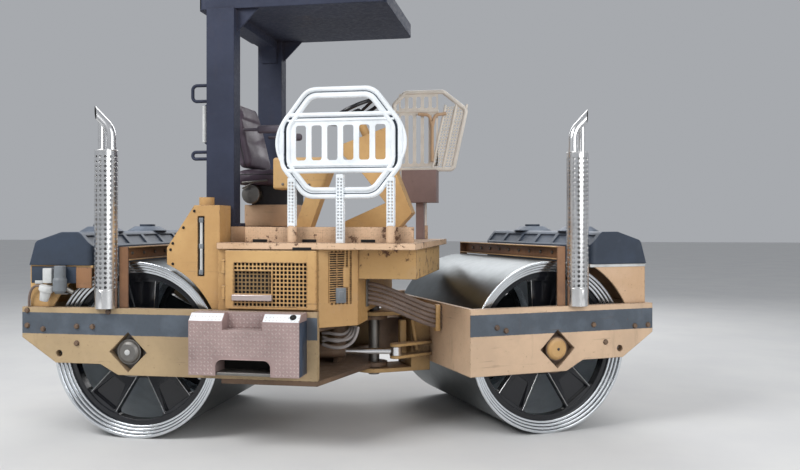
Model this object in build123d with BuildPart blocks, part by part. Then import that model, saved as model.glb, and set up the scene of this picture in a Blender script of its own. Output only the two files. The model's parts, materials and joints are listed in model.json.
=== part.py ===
"""Articulated tandem road roller: two drums in hinged yokes, an engine bay and an open operator station.

The machine stands turned to the left at its hitch. X runs forward along the rear frame, Y to the left
and Z up, in millimetres. The origin lies on the ground under the middle of the whole machine. Lengths are
taken from the hitch pin and heights from the axles, which lie one drum radius over the ground.
"""
import os
from math import asin, atan2, cos, degrees, hypot, pi, radians, sin, sqrt

from build123d import *

# Stance: the hitch is turned left when parked, and each yoke's cross wall lies at a distance from its pin
STEER_AT_REST = 30.0
REAR_WALL = 800.0
FRONT_WALL = 370.0

# General clearances
FIT = 0.3
RUNNING_FIT = 0.08
SLIDE_GAP = 5.0

# Drums: a shell with a stepped rim at each end and a spoked wheel seated in each rim
DRUM_R = 570.0
DRUM_WIDTH = 1420.0
SHELL_WALL = 30.0
LIP_WALL = 20.0
RIM_STEP = 18.0
RIM_STEPS = 3
RIM_STEP_DEPTH = 15.0
WHEEL_RING = 34.0
WHEEL_DEPTH = 62.0
HUB_R = 118.0
HUB_DEPTH = 140.0
HUB_SET_IN = 10.0
SPOKES = 5
SPOKE_ROOT = 150.0
SPOKE_TIP = 250.0
SPOKE_THICK = 46.0
SPOKE_START = 90.0
WEB_SET_IN = 8.0
WEB_DISH = 45.0
WINDOW_ROOT = 200.0
WINDOW_ROUND = 26.0
POCKET_ROOT = 265.0
POCKET_RIM = 26.0
POCKET_FLOOR = 34.0
POCKET_ROUND = 12.0

# Yokes: two side plates, an end beam and a cross wall near the hitch
DRUM_SIDE_GAP = 40.0
DRUM_END_GAP = 110.0
DRUM_WALL_GAP = 20.0
YOKE_PLATE = 50.0
END_BEAM = 60.0
CROSS_WALL = 35.0
YOKE_HALF = DRUM_WIDTH / 2 + DRUM_SIDE_GAP + YOKE_PLATE
YOKE_CLEAR_HALF = YOKE_HALF - YOKE_PLATE
YOKE_END = DRUM_R + DRUM_END_GAP + END_BEAM
YOKE_INNER = DRUM_R + DRUM_WALL_GAP + CROSS_WALL
REAR_AXLE = REAR_WALL + YOKE_INNER
FRONT_AXLE = FRONT_WALL + YOKE_INNER
YOKE_TOP = 277.0
YOKE_BOTTOM = -146.0
YOKE_NOSE = 80.0
NOSE_LENGTH = 240.0
NOSE_SLOPE = YOKE_END - NOSE_LENGTH
YOKE_STEP = -80.0
STEP_OUT = 190.0
STEP_IN = 66.0
BEARING_WINDOW = 180.0
BEARING_PLATE_R = 165.0
BEARING_PLATE = 14.0
BEARING_CAP_R = 80.0
BEARING_CAP = 35.0
AXLE_R = 55.0
EYE_R = 22.0
EYE_SET_IN = 23.0
EYE_OUT = NOSE_SLOPE - EYE_SET_IN
EYE_Z = -19.0

# Engine bay on the rear frame
BAY_SET_IN = 32.0
BAY_CORNER = 178.0
BAY_HALF = YOKE_HALF - BAY_SET_IN
BAY_FRONT_HALF = BAY_HALF - BAY_CORNER
BAY_WALL = 28.0
BAY_SQUARE_END = 185.0
BAY_FRONT = 20.0
BAY_TOP = 657.0
DECK_LOW = 152.0
DECK_PLATE = 25.0
BELLY_PLATE = 30.0
TONGUE_WINDOW_HALF = 300.0
TONGUE_WINDOW_TOP = 237.0
VENT_SLOTS = 6
VENT_PITCH = 26.0
VENT_WIDTH = 13.0
VENT_HEIGHT = 330.0
VENT_Z = 480.0
VENT_SHIFT = 20.0
ENGINE_LENGTH = 520.0
ENGINE_WIDTH = 640.0
ENGINE_HEIGHT = 420.0
ENGINE_X = -500.0

# Engine doors: overlay panels hung on the rear edge of each opening
DOOR_REAR = 790.0
DOOR_FRONT = 192.0
DOOR_LOW = 288.0
DOOR_HIGH = 650.0
DOOR_GAP = 6.0
DOOR_LAP = 18.0
KNUCKLE_R = 13.0
KNUCKLE_LENGTH = 60.0
KNUCKLE_PIN_R = 6.0
KNUCKLE_RISE = 70.0
HINGE_EAR = 12.0
GRILLE_COLUMNS = 13
GRILLE_ROWS = 8
GRILLE_HOLE_R = 11.0
GRILLE_PITCH = 36.0
GRILLE_SIDES = 6
GRILLE_X = -484.0
GRILLE_Z = 440.0
POCKET_X = (-722.0, -472.0)
POCKET_Z = (378.0, 524.0)
POCKET_DEEP = 14.0
LEDGE_HEIGHT = 42.0
LEDGE_OUT = 20.0

# Hitch: the front fork closes over the two hinge plates of the rear frame
HITCH_PIN_R = 38.0
HINGE_END_R = 95.0
TONGUE_HALF = 130.0
FORK_PLATE = 27.0
FORK_GAP = 5.0
NECK_REAR = 230.0
NECK_WALL = 30.0
HITCH_WEB_X = -245.0
HITCH_WEB = 30.0

# Steering cylinder, pinned to the cross wall and to an ear on the front neck
CYLINDER_Z = -48.0
CYLINDER_BASE = (-735.0, -300.0)
ROD_EYE = (85.0, -217.0)
BARREL_R = 46.0
BARREL_LENGTH = 590.0
BARREL_WALL = 10.0
GLAND = 40.0
ROD_R = 21.0
ROD_LENGTH = 430.0
EYE_BOSS_R = 40.0
EYE_BOSS = 56.0
EAR_PLATE = 20.0
EAR_GAP = 2.0
BASE_PIN_R = 18.0

# Operator platform and the raised deck that carries the seat and the roll bar
PLATFORM_TOP = 697.0
PLATFORM_FRONT = 420.0
PLATFORM_LIP = 22.0
PLATFORM_HALF = BAY_HALF + PLATFORM_LIP
OVERHANG_LOW = 467.0
OVERHANG_FRONT = 390.0
OVERHANG_HALF = 575.0
TRAY_WALL = 12.0
SOCKET_R = 29.0
SOCKET_HEIGHT = 105.0
TOE_BOARD_Y = -680.0
TOE_BOARD_REAR = 690.0
TOE_BOARD_HEIGHT = 98.0
SEAT_DECK_TOP = 797.0
SEAT_DECK_REAR = 1060.0
SEAT_DECK_FRONT = 690.0
SEAT_DECK_HALF = 552.0

# Side tanks behind the platform
SIDE_TANK_SET_IN = 28.0
SIDE_TANK_GAP = 6.0
SIDE_TANK_OUT = BAY_HALF - SIDE_TANK_SET_IN
SIDE_TANK_IN = SEAT_DECK_HALF + SIDE_TANK_GAP
SIDE_TANK_TOP = 932.0
SIDE_TANK_REAR = 1190.0
SIDE_TANK_SLOPE_Z = 662.0
SIDE_TANK_SLOPE_X = 1005.0
DRUM_CLEAR = 35.0
GAUGE_X = -960.0
GAUGE_Z = (483.0, 863.0)
GAUGE_WIDTH = 46.0
GAUGE_DEEP = 12.0
TANK_CAP_R = 48.0
TANK_CAP = 52.0

# Roll bar and canopy
POST_X = -913.0
POST_HALF = 490.0
POST_LENGTH = 190.0
POST_WIDTH = 110.0
POST_FOOT = 22.0
POST_FOOT_MARGIN = 36.0
GUSSET = 150.0
GUSSET_PLATE = 14.0
HANDLE_TUBE = 11.0
HANDLE_OUT = 120.0
HANDLE_BEND = 30.0
HANDLE_HEIGHTS = ((1627.0, 1732.0), (1245.0, 1290.0))
GRAB_BAR = (1345.0, 1600.0)
GRAB_BAR_OUT = 34.0
CANOPY_ROUND = 45.0
CANOPY_LOW = 2227.0
CANOPY_TOP = 2322.0
CANOPY_REAR = 1080.0
CANOPY_FRONT = 185.0
CANOPY_HALF = 520.0
CANOPY_SHEET = 8.0
HEADER_LENGTH = 120.0
HEADER_DROP = 170.0
HEADER_STRIP = 60.0
HEADER_LEG = 8.0
HEADER_ROUND = 105.0

# Seat
SEAT_X = -700.0
SEAT_BOX_HEIGHT = 150.0
SEAT_BOX = 360.0
SEAT_STEM = 288.0
SEAT_WIDTH = 480.0
CUSHION_LOW = 1082.0
CUSHION = 115.0
BACK_HEIGHT = 500.0
BACK_THICK = 110.0
BACK_TILT = 14.0
ARM_X = (-900.0, -600.0)
ARM_Z = (1434.0, 1490.0)
ARM_WIDTH = 48.0
ARM_BITE = 6.0

# Console beside the seat, steering pedestal and wheel
CONSOLE_Y = -370.0
CONSOLE_WIDTH = 150.0
CONSOLE_REAR = 590.0
CONSOLE_FRONT = 190.0
CONSOLE_LOW = 1042.0
CONSOLE_HIGH = 1252.0
CONSOLE_NOSE = 60.0
CONSOLE_LEG = 110.0
CONSOLE_ROUND = 18.0
PEDESTAL_Y = 0.0
PEDESTAL_WIDTH = 150.0
PEDESTAL_HEEL = (-200.0, 828.0)
PEDESTAL_TOE = (160.0, 758.0)
PEDESTAL_INNER = (97.0, 959.0)
PEDESTAL_KNEE = (283.0, 889.0)
DASH_LOW = (-59.0, 1155.0)
DASH_TIP = (-202.0, 1290.0)
DASH_TOP = (-202.0, 1373.0)
DASH_FRONT = (111.0, 1485.0)
DASH_FOOT = (174.0, 1159.0)
DASH_ROUND = 20.0
COLUMN_R = 30.0
COLUMN_LENGTH = 170.0
WHEEL_CENTRE = (-130.0, 1602.0)
STEER_WHEEL_R = 190.0
STEER_WHEEL_TUBE = 15.0
WHEEL_TILT = 25.0
WHEEL_HUB = 60.0
WHEEL_ARMS = 3
WHEEL_HUB_R = 42.0

# Railings
RAIL_SET_IN = 55.0
RAIL_Y = PLATFORM_HALF - RAIL_SET_IN
RAIL_TUBE = 15.0
RAIL_BAND = 42.0
RAIL_LOW = 982.0
RAIL_HIGH = 1642.0
RAIL_REAR = 428.0
RAIL_FRONT = 315.0
RAIL_CORNER = 150.0
RAIL_BEND = 60.0
RAIL_SHEET = 10.0
RAIL_SHEET_LOW = 1140.0
RAIL_SHEET_HIGH = 1485.0
RAIL_SHEET_OVER = 10.0
RAIL_SLOTS = 6
RAIL_SLOT_PITCH = 100.0
RAIL_SLOT_WIDTH = 66.0
RAIL_SLOT_HEIGHT = 215.0
RAIL_SLOT_ROUND = 16.0
RAIL_POST_R = 22.0
RAIL_POST_TOP = 1100.0
NEAR_POSTS = (-364.0, 258.0)
MIDDLE_POST = 44.0
FAR_POSTS = (85.0, 250.0)
FAR_LOOP = ((50, 1242), (480, 1242), (580, 1702), (400, 1848), (100, 1848), (10, 1757))
FAR_BEND = 35.0
FAR_SLOTS = 5
FAR_SLOT_PITCH = 62.0
FAR_SLOT_WIDTH = 36.0
FAR_SLOT_X = 205.0
FAR_SLOT_ROWS = ((1285.0, 1660.0), (1735.0, 1810.0))
BAND_X = 450.0
BAND_Z = 1505.0
BAND_LEAN = 11.0
BAND_HOLE_R = 10.0
BAND_PITCH = 34.0
BAND_COLUMNS = 3
BAND_ROWS = 11

# Control box on its post at the far side
BOX_X = 240.0
BOX_SET_IN = 135.0
BOX_Y = RAIL_Y - BOX_SET_IN
BOX_LENGTH = 265.0
BOX_WIDTH = 150.0
BOX_LOW = 977.0
BOX_HIGH = 1225.0
BOX_POST = 60.0

# Water tanks and their carriers at both ends
TANK_END_GAP = 40.0
TANK_LENGTH = 440.0
TANK_SET_IN = 15.0
TANK_DROP = 23.0
TANK_WALL = 155.0
TANK_CROWN = 60.0
TANK_END = YOKE_END - TANK_END_GAP
TANK_HALF = YOKE_HALF - TANK_SET_IN
TANK_LOW = DRUM_R - TANK_DROP
TANK_SHOULDER = TANK_LOW + TANK_WALL
TANK_TOP = TANK_SHOULDER + TANK_CROWN
TANK_SLOPE = 230.0
TANK_LEAN = 45.0
TANK_CORNER = 40.0
TANK_BEVEL_X = 85.0
TANK_BEVEL_Z = 95.0
PANEL_DEEP = 12.0
PANEL_EDGE = 16.0
PANEL_WIDTH = 215.0
PANEL_PITCH = 255.0
PANELS = 6
CARRIER_PLATE = 14.0
CARRIER_SET_IN = 14.0
TRAY_THICK = 18.0
CHANNEL_OUT = 45.0
CHANNEL_LENGTH = 60.0
CHANNEL_HEIGHT = 87.0
CHANNEL_LIFT = 10.0
CHANNEL_TOP = DRUM_R + CHANNEL_LIFT + CHANNEL_HEIGHT
CHANNEL_SHEET = 8.0
FILLER_FOOT_R = 150.0
FILLER_R = 95.0
FILLER_RISE = 34.0
FILLER_CAP_R = 58.0
FILLER_CAP = 16.0
FILLER_BACK = 30.0
FILLER_Y = (-330.0, 330.0)

# Exhaust stacks: a bent pipe inside a perforated shield, on the near plate of each yoke
STACK_OUT = 153.0
STACK_SET_OUT = 18.0
STACK_PIPE_R = 30.0
STACK_SPREAD = 34.0
SECOND_PIPE_R = 21.0
STACK_WALL = 3.0
STACK_KNEE = 1417.0
STACK_BEND = 130.0
MOUTH_OUT = 75.0
MOUTH_OVER = 70.0
MOUTH_TURN = 40.0
SHIELD_R = 72.0
SHIELD_WALL = 4.0
SHIELD_TOP = 1284.0
SHIELD_COLUMNS = 10
SHIELD_ROWS = 13
SHIELD_PITCH = 68.0
SHIELD_HOLE_R = 13.0
SHIELD_HOLE_SIDES = 6
SHIELD_BAND = 120.0

# Step box on the near side of the rear frame
STEP_BOX_REAR = 945.0
STEP_BOX_FRONT = 250.0
STEP_BOX_DEEP = 160.0
STEP_BOX_LOW = -98.0
STEP_BOX_HIGH = 274.0
STEP_BOX_BEVEL = 45.0
STEP_SLOT_REAR = 775.0
STEP_SLOT_FRONT = 425.0
STEP_SLOT_HIGH = 2.0
STEP_NOTCH_REAR = 730.0
STEP_NOTCH_FRONT = 480.0
STEP_NOTCH_LOW = 177.0
STEP_NOTCH_DEEP = 90.0

# Hoses over the hitch
HOSE_R = 14.0
HOSES = 5
HOSE_PITCH = 31.0
HOSE_START_Y = -330.0
HOSE_START_Z = 422.0
HOSE_END_Y = -330.0
HOSE_END_Z = 242.0
HOSE_LEAD = 90.0
HOSE_BEND = 50.0

# The overall box sets the origin under its middle
turn = radians(STEER_AT_REST)
front_reach = FRONT_AXLE + YOKE_END
BOX_MAX_X = front_reach * cos(turn) + YOKE_HALF * sin(turn)
BOX_MIN_X = -(REAR_AXLE + YOKE_END)
BOX_MAX_Y = front_reach * sin(turn) + YOKE_HALF * cos(turn)
BOX_MIN_Y = -(YOKE_HALF + STEP_BOX_DEEP)
REAR = Location((-(BOX_MAX_X + BOX_MIN_X) / 2, -(BOX_MAX_Y + BOX_MIN_Y) / 2, DRUM_R))
FRONT = REAR * Location((0, 0, 0), (0, 0, STEER_AT_REST))

# Each yoke: its frame, axle position, outward direction and how far its plates reach past the axle
BAY_REAR = REAR_WALL + CROSS_WALL
YOKES = {
    "rear": (REAR, -REAR_AXLE, -1, REAR_AXLE - BAY_SQUARE_END),
    "front": (FRONT, FRONT_AXLE, 1, YOKE_INNER),
}


def side(frame, y):
    """Upright plane along the machine at y, its sketch axes along X and Z and its normal to -Y."""
    return Plane(frame * Plane.XZ.offset(-y).location)


def level(frame, z):
    """Flat plane at height z."""
    return Plane(frame * Plane.XY.offset(z).location)


def across(frame, x):
    """Upright plane across the machine at x, its sketch axes along Y and Z."""
    return Plane(frame * Plane.YZ.offset(x).location)


def save(piece, name):
    """Label a finished piece and write it as its own file."""
    piece.part.label = name
    export_step(piece.part, f"parts/{name}.step")


def block(frame, x, y, z, mode=Mode.ADD):
    """Box between two values on each axis, added to the part being built."""
    centre = frame * Pos(sum(x) / 2, sum(y) / 2, sum(z) / 2)
    with Locations(centre):
        Box(abs(x[1] - x[0]), abs(y[1] - y[0]), abs(z[1] - z[0]), mode=mode)


def between_spokes(radius, hand):
    """Corner of the window between two spokes at a radius, in the window's own axes."""
    width = SPOKE_ROOT + (SPOKE_TIP - SPOKE_ROOT) * (radius - HUB_R) / (DRUM_R - HUB_R)
    angle = pi / SPOKES - asin(width / 2 / radius)
    return radius * cos(angle), hand * radius * sin(angle)


def octagon(x, z, corner):
    """Corners of a rectangle with its own corners cut off, starting along its lower side."""
    return [
        (x[0] + corner, z[0]), (x[1] - corner, z[0]), (x[1], z[0] + corner), (x[1], z[1] - corner),
        (x[1] - corner, z[1]), (x[0] + corner, z[1]), (x[0], z[1] - corner), (x[0], z[0] + corner),
    ]


os.makedirs("parts", exist_ok=True)

# Perforated stack shield, the same at both ends
with BuildPart() as perforated:
    with BuildSketch():
        Circle(SHIELD_R)
        Circle(SHIELD_R - SHIELD_WALL, mode=Mode.SUBTRACT)
    extrude(amount=SHIELD_TOP - YOKE_TOP)
    for pair in range(SHIELD_COLUMNS // 2):
        column = Location((0, 0, 0), (0, 0, 360 / SHIELD_COLUMNS * pair))
        with BuildSketch(side(column, 0)):
            with Locations((0, SHIELD_BAND + SHIELD_PITCH * (SHIELD_ROWS - 1 + pair % 2) / 2)):
                with GridLocations(1, SHIELD_PITCH, 1, SHIELD_ROWS):
                    RegularPolygon(SHIELD_HOLE_R, SHIELD_HOLE_SIDES)
        extrude(amount=2 * SHIELD_R, both=True, mode=Mode.SUBTRACT)

# Yokes, bearings and drums, the same at both ends
for end, (frame, axle, out, reach) in YOKES.items():
    with BuildPart() as yoke:
        for y in (-YOKE_HALF, YOKE_CLEAR_HALF):
            with BuildSketch(side(frame, y)):
                with BuildLine():
                    Polyline(
                        (axle + out * YOKE_END, YOKE_TOP),
                        (axle + out * YOKE_END, YOKE_NOSE),
                        (axle + out * NOSE_SLOPE, YOKE_STEP),
                        (axle + out * STEP_OUT, YOKE_STEP),
                        (axle + out * STEP_IN, YOKE_BOTTOM),
                        (axle - out * reach, YOKE_BOTTOM),
                        (axle - out * reach, YOKE_TOP),
                        close=True,
                    )
                make_face()
                with Locations((axle, 0)):
                    Rectangle(BEARING_WINDOW, BEARING_WINDOW, rotation=45, mode=Mode.SUBTRACT)
                with Locations((axle + out * EYE_OUT, EYE_Z)):
                    Circle(EYE_R, mode=Mode.SUBTRACT)
            extrude(amount=-YOKE_PLATE)
        clear = (-YOKE_CLEAR_HALF, YOKE_CLEAR_HALF)
        beam = (axle + out * (YOKE_END - END_BEAM), axle + out * YOKE_END)
        block(frame, beam, clear, (YOKE_NOSE, YOKE_TOP))
        wall = (axle - out * (YOKE_INNER - CROSS_WALL), axle - out * YOKE_INNER)
        block(frame, wall, clear, (YOKE_BOTTOM, YOKE_TOP))
    save(yoke, f"{end}_yoke")

    hub_face = DRUM_WIDTH / 2 - HUB_SET_IN
    with BuildPart() as bearings:
        for hand in (-1, 1):
            face = side(frame, hand * YOKE_CLEAR_HALF)
            with BuildSketch(face):
                with Locations((axle, 0)):
                    Circle(BEARING_PLATE_R)
            extrude(amount=hand * BEARING_PLATE)
            with BuildSketch(face):
                with Locations((axle, 0)):
                    Circle(BEARING_CAP_R)
            extrude(amount=-hand * BEARING_CAP)
            with BuildSketch(face):
                with Locations((axle, 0)):
                    Circle(AXLE_R)
            extrude(amount=hand * (YOKE_CLEAR_HALF - hub_face + HUB_DEPTH))
    save(bearings, f"{end}_axle_bearings")

    seat_r = DRUM_R - LIP_WALL - RIM_STEP * RIM_STEPS
    rim_depth = RIM_STEP_DEPTH * RIM_STEPS
    with BuildPart() as shell:
        with BuildSketch(level(frame, 0)):
            with Locations((axle + DRUM_R - SHELL_WALL / 2, 0)):
                Rectangle(SHELL_WALL, DRUM_WIDTH)
            for hand in (-1, 1):
                for step in range(RIM_STEPS):
                    inner = DRUM_R - LIP_WALL - RIM_STEP * (step + 1)
                    length = rim_depth + WHEEL_DEPTH - step * RIM_STEP_DEPTH
                    middle = DRUM_WIDTH / 2 - step * RIM_STEP_DEPTH - RIM_STEP_DEPTH - length / 2
                    with Locations((axle + (inner + DRUM_R - LIP_WALL) / 2, hand * middle)):
                        Rectangle(DRUM_R - LIP_WALL - inner, length)
            for hand in (-1, 1):
                with Locations((axle + DRUM_R - SHELL_WALL, hand * (DRUM_WIDTH - RIM_STEP_DEPTH) / 2)):
                    Rectangle(2 * (SHELL_WALL - LIP_WALL), RIM_STEP_DEPTH, mode=Mode.SUBTRACT)
        revolve(axis=Axis(side(frame, 0).from_local_coords((axle, 0, 0)), side(frame, 0).z_dir))
    save(shell, f"{end}_drum_shell")

    # Spoked wheels: a dished web between ring and hub, cut by windows, with a pocket near each spoke's tip
    ring_r = seat_r - WHEEL_RING
    ring_face = DRUM_WIDTH / 2 - rim_depth - RIM_STEP_DEPTH
    web_face = ring_face - WEB_SET_IN
    axis = Axis(side(frame, 0).from_local_coords((axle, 0, 0)), side(frame, 0).z_dir)
    with BuildPart() as wheels:
        for hand in (-1, 1):
            face = side(frame, hand * ring_face)
            with BuildSketch(face):
                with Locations((axle, 0)):
                    Circle(seat_r - FIT)
                    Circle(ring_r, mode=Mode.SUBTRACT)
            extrude(amount=hand * WHEEL_DEPTH)
            with BuildSketch(level(frame, 0)):
                with Locations((axle, 0)):
                    Polygon(
                        (ring_r + FIT, hand * web_face),
                        (ring_r + FIT, hand * (web_face - SPOKE_THICK)),
                        (AXLE_R + RUNNING_FIT, hand * (web_face - WEB_DISH - SPOKE_THICK)),
                        (AXLE_R + RUNNING_FIT, hand * (web_face - WEB_DISH)),
                        align=None,
                    )
            revolve(axis=axis)
            with BuildSketch(face) as windows:
                with Locations((axle, 0)):
                    with PolarLocations(0, SPOKES, start_angle=SPOKE_START + 180 / SPOKES):
                        Polygon(
                            between_spokes(WINDOW_ROOT, -1),
                            between_spokes(DRUM_R, -1),
                            between_spokes(DRUM_R, 1),
                            between_spokes(WINDOW_ROOT, 1),
                            align=None,
                        )
                    Circle(ring_r, mode=Mode.INTERSECT)
                fillet(windows.vertices(), WINDOW_ROUND)
            extrude(amount=hand * (WEB_SET_IN + WEB_DISH + SPOKE_THICK), mode=Mode.SUBTRACT)
            with BuildSketch(side(frame, hand * (ring_face - POCKET_FLOOR))) as pockets:
                with Locations((axle, 0)):
                    with PolarLocations(0, SPOKES, start_angle=SPOKE_START):
                        Polygon(
                            (POCKET_ROOT, POCKET_RIM - SPOKE_ROOT / 2),
                            (ring_r - POCKET_RIM, POCKET_RIM - SPOKE_TIP / 2),
                            (ring_r - POCKET_RIM, SPOKE_TIP / 2 - POCKET_RIM),
                            (POCKET_ROOT, SPOKE_ROOT / 2 - POCKET_RIM),
                            align=None,
                        )
                fillet(pockets.vertices(), POCKET_ROUND)
            extrude(amount=-hand * POCKET_FLOOR, mode=Mode.SUBTRACT)
            for radius, mode in ((HUB_R, Mode.ADD), (AXLE_R + RUNNING_FIT, Mode.SUBTRACT)):
                with BuildSketch(side(frame, hand * hub_face)):
                    with Locations((axle, 0)):
                        Circle(radius)
                extrude(amount=hand * HUB_DEPTH, mode=mode)
    save(wheels, f"{end}_drum_wheels")

    # Water tank with sloped shoulders, its carrier and the cross channel over the drum
    tank_x = (axle + out * (TANK_END - TANK_LENGTH), axle + out * TANK_END)
    bevel = axle + out * (TANK_END - TANK_LENGTH)
    with BuildPart() as tank:
        with BuildSketch(side(frame, TANK_HALF)):
            with BuildLine():
                Polyline(
                    (tank_x[0], TANK_LOW),
                    (tank_x[1], TANK_LOW),
                    (axle + out * (TANK_END - TANK_LEAN), TANK_SHOULDER),
                    (axle + out * (TANK_END - TANK_SLOPE), TANK_TOP),
                    (bevel + out * TANK_BEVEL_X, TANK_TOP),
                    (bevel, TANK_TOP - TANK_BEVEL_Z),
                    close=True,
                )
            make_face()
        extrude(amount=2 * TANK_HALF)
        long_edges = tank.edges().filter_by(GeomType.LINE).filter_by(lambda e: e.length > TANK_HALF)
        crown = long_edges.group_by(Axis.Z)
        fillet(crown[-2] + crown[-1], TANK_CORNER)
        fillet(tank.edges().filter_by(Axis.Z), TANK_CORNER)
        lean = hypot(TANK_BEVEL_X, TANK_BEVEL_Z)
        inset = (out * PANEL_DEEP * TANK_BEVEL_Z / lean, -PANEL_DEEP * TANK_BEVEL_X / lean)
        for panel in range(PANELS):
            y = (panel - (PANELS - 1) / 2) * PANEL_PITCH
            with BuildSketch(side(frame, y + PANEL_WIDTH / 2)):
                with BuildLine():
                    edge = PANEL_EDGE / lean
                    low = (bevel + out * TANK_BEVEL_X * edge, TANK_TOP - TANK_BEVEL_Z * (1 - edge))
                    high = (bevel + out * TANK_BEVEL_X * (1 - 2 * edge), TANK_TOP - TANK_BEVEL_Z * 2 * edge)
                    Polyline(
                        (low[0] - inset[0], low[1] - inset[1]),
                        (high[0] - inset[0], high[1] - inset[1]),
                        (high[0] + inset[0], high[1] + inset[1]),
                        (low[0] + inset[0], low[1] + inset[1]),
                        close=True,
                    )
                make_face()
            extrude(amount=PANEL_WIDTH, mode=Mode.SUBTRACT)
        for y in FILLER_Y:
            with Locations(frame * Pos(sum(tank_x) / 2 - out * FILLER_BACK, y, TANK_TOP)):
                foot = (Align.CENTER, Align.CENTER, Align.MIN)
                Cone(FILLER_FOOT_R, FILLER_R, FILLER_RISE, align=foot)
                Cylinder(FILLER_CAP_R, FILLER_RISE + FILLER_CAP, align=foot)
    save(tank, f"{end}_water_tank")

    carrier_half = TANK_HALF - CARRIER_SET_IN
    with BuildPart() as carrier:
        for y in (-carrier_half, carrier_half - CARRIER_PLATE):
            with BuildSketch(side(frame, y)):
                with Locations(((tank_x[0] + tank_x[1]) / 2, (YOKE_TOP + TANK_LOW) / 2)):
                    Rectangle(abs(tank_x[1] - tank_x[0]), TANK_LOW - YOKE_TOP)
                with Locations((axle, 0)):
                    Circle(DRUM_R + DRUM_CLEAR, mode=Mode.SUBTRACT)
            extrude(amount=-CARRIER_PLATE)
        block(frame, tank_x, (-carrier_half, carrier_half), (TANK_LOW - TRAY_THICK, TANK_LOW))
        end_wall = (tank_x[1] - out * CARRIER_PLATE, tank_x[1])
        block(frame, end_wall, (-carrier_half, carrier_half), (YOKE_TOP, TANK_LOW))
    save(carrier, f"{end}_tank_carrier")

    channel_x = axle + out * CHANNEL_OUT
    with BuildPart() as channel:
        with BuildSketch(side(frame, carrier_half)):
            with Locations((channel_x, CHANNEL_TOP - CHANNEL_HEIGHT / 2)):
                Rectangle(CHANNEL_LENGTH, CHANNEL_HEIGHT)
            with Locations((channel_x - out * CHANNEL_SHEET, CHANNEL_TOP - CHANNEL_HEIGHT / 2)):
                Rectangle(CHANNEL_LENGTH, CHANNEL_HEIGHT - 2 * CHANNEL_SHEET, mode=Mode.SUBTRACT)
        extrude(amount=2 * carrier_half)
        for hand in (-1, 1):
            post_y = (hand * carrier_half, hand * (carrier_half - CHANNEL_SHEET))
            post_x = (channel_x - CHANNEL_LENGTH / 2, channel_x + CHANNEL_LENGTH / 2)
            block(frame, post_x, post_y, (YOKE_TOP, CHANNEL_TOP))
    save(channel, f"{end}_spray_channel")

    # Exhaust stack: a slant-cut bent pipe in a perforated shield
    stack_x = axle + out * STACK_OUT
    stack_y = -YOKE_HALF + YOKE_PLATE / 2 - STACK_SET_OUT
    with BuildPart() as shield:
        with Locations(frame * Pos(stack_x, stack_y, YOKE_TOP)):
            add(perforated.part)
    save(shield, f"{end}_stack_shield")

    # Two pipes rise in the shield, the thin one into the bend of the other, and the mouth is cut on the slant
    main_x = stack_x - out * STACK_SPREAD
    second_x = stack_x + out * STACK_SPREAD
    mouth_run = MOUTH_OUT + STACK_SPREAD + MOUTH_OVER
    with BuildPart() as stack:
        with BuildLine(side(frame, stack_y)) as route:
            FilletPolyline(
                (main_x, YOKE_TOP),
                (main_x, STACK_KNEE),
                (main_x + out * mouth_run, STACK_KNEE + mouth_run),
                radius=STACK_BEND,
            )
        for wall, mode in ((0, Mode.ADD), (STACK_WALL, Mode.SUBTRACT)):
            with BuildSketch(level(frame, YOKE_TOP)):
                with Locations((main_x, stack_y)):
                    Circle(STACK_PIPE_R - wall)
            sweep(path=route.wires()[0], mode=mode)
            with BuildSketch(level(frame, YOKE_TOP)):
                with Locations((second_x, stack_y)):
                    Circle(SECOND_PIPE_R - wall)
            extrude(amount=STACK_KNEE + 2 * STACK_SPREAD - wall - YOKE_TOP, mode=mode)
        mouth = frame * Pos(stack_x + out * MOUTH_OUT, stack_y, STACK_KNEE + STACK_SPREAD + MOUTH_OUT)
        mouth = mouth * Location((0, 0, 0), (0, 0, -90 + out * (90 - MOUTH_TURN)))
        split(bisect_by=across(mouth, 0), keep=Keep.BOTTOM)
    save(stack, f"{end}_exhaust_stack")

# Hitch: belly plate and engine deck of the rear frame end as the two hinge plates
with BuildPart() as hitch_frame:
    for low, thick, half in ((YOKE_BOTTOM - BELLY_PLATE, BELLY_PLATE, YOKE_HALF),
                             (DECK_LOW, DECK_PLATE, YOKE_CLEAR_HALF)):
        with BuildSketch(level(REAR, low)):
            with BuildLine():
                Polyline(
                    (-BAY_REAR + CROSS_WALL, -half),
                    (-BAY_SQUARE_END, -half),
                    (0, -HINGE_END_R),
                    (0, HINGE_END_R),
                    (-BAY_SQUARE_END, half),
                    (-BAY_REAR + CROSS_WALL, half),
                    close=True,
                )
            make_face()
            Circle(HINGE_END_R)
            Circle(HITCH_PIN_R, mode=Mode.SUBTRACT)
        extrude(amount=thick)
    web = (HITCH_WEB_X - HITCH_WEB / 2, HITCH_WEB_X + HITCH_WEB / 2)
    block(REAR, web, (-TONGUE_HALF, TONGUE_HALF), (YOKE_BOTTOM, DECK_LOW))
save(hitch_frame, "hitch_frame")

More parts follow.
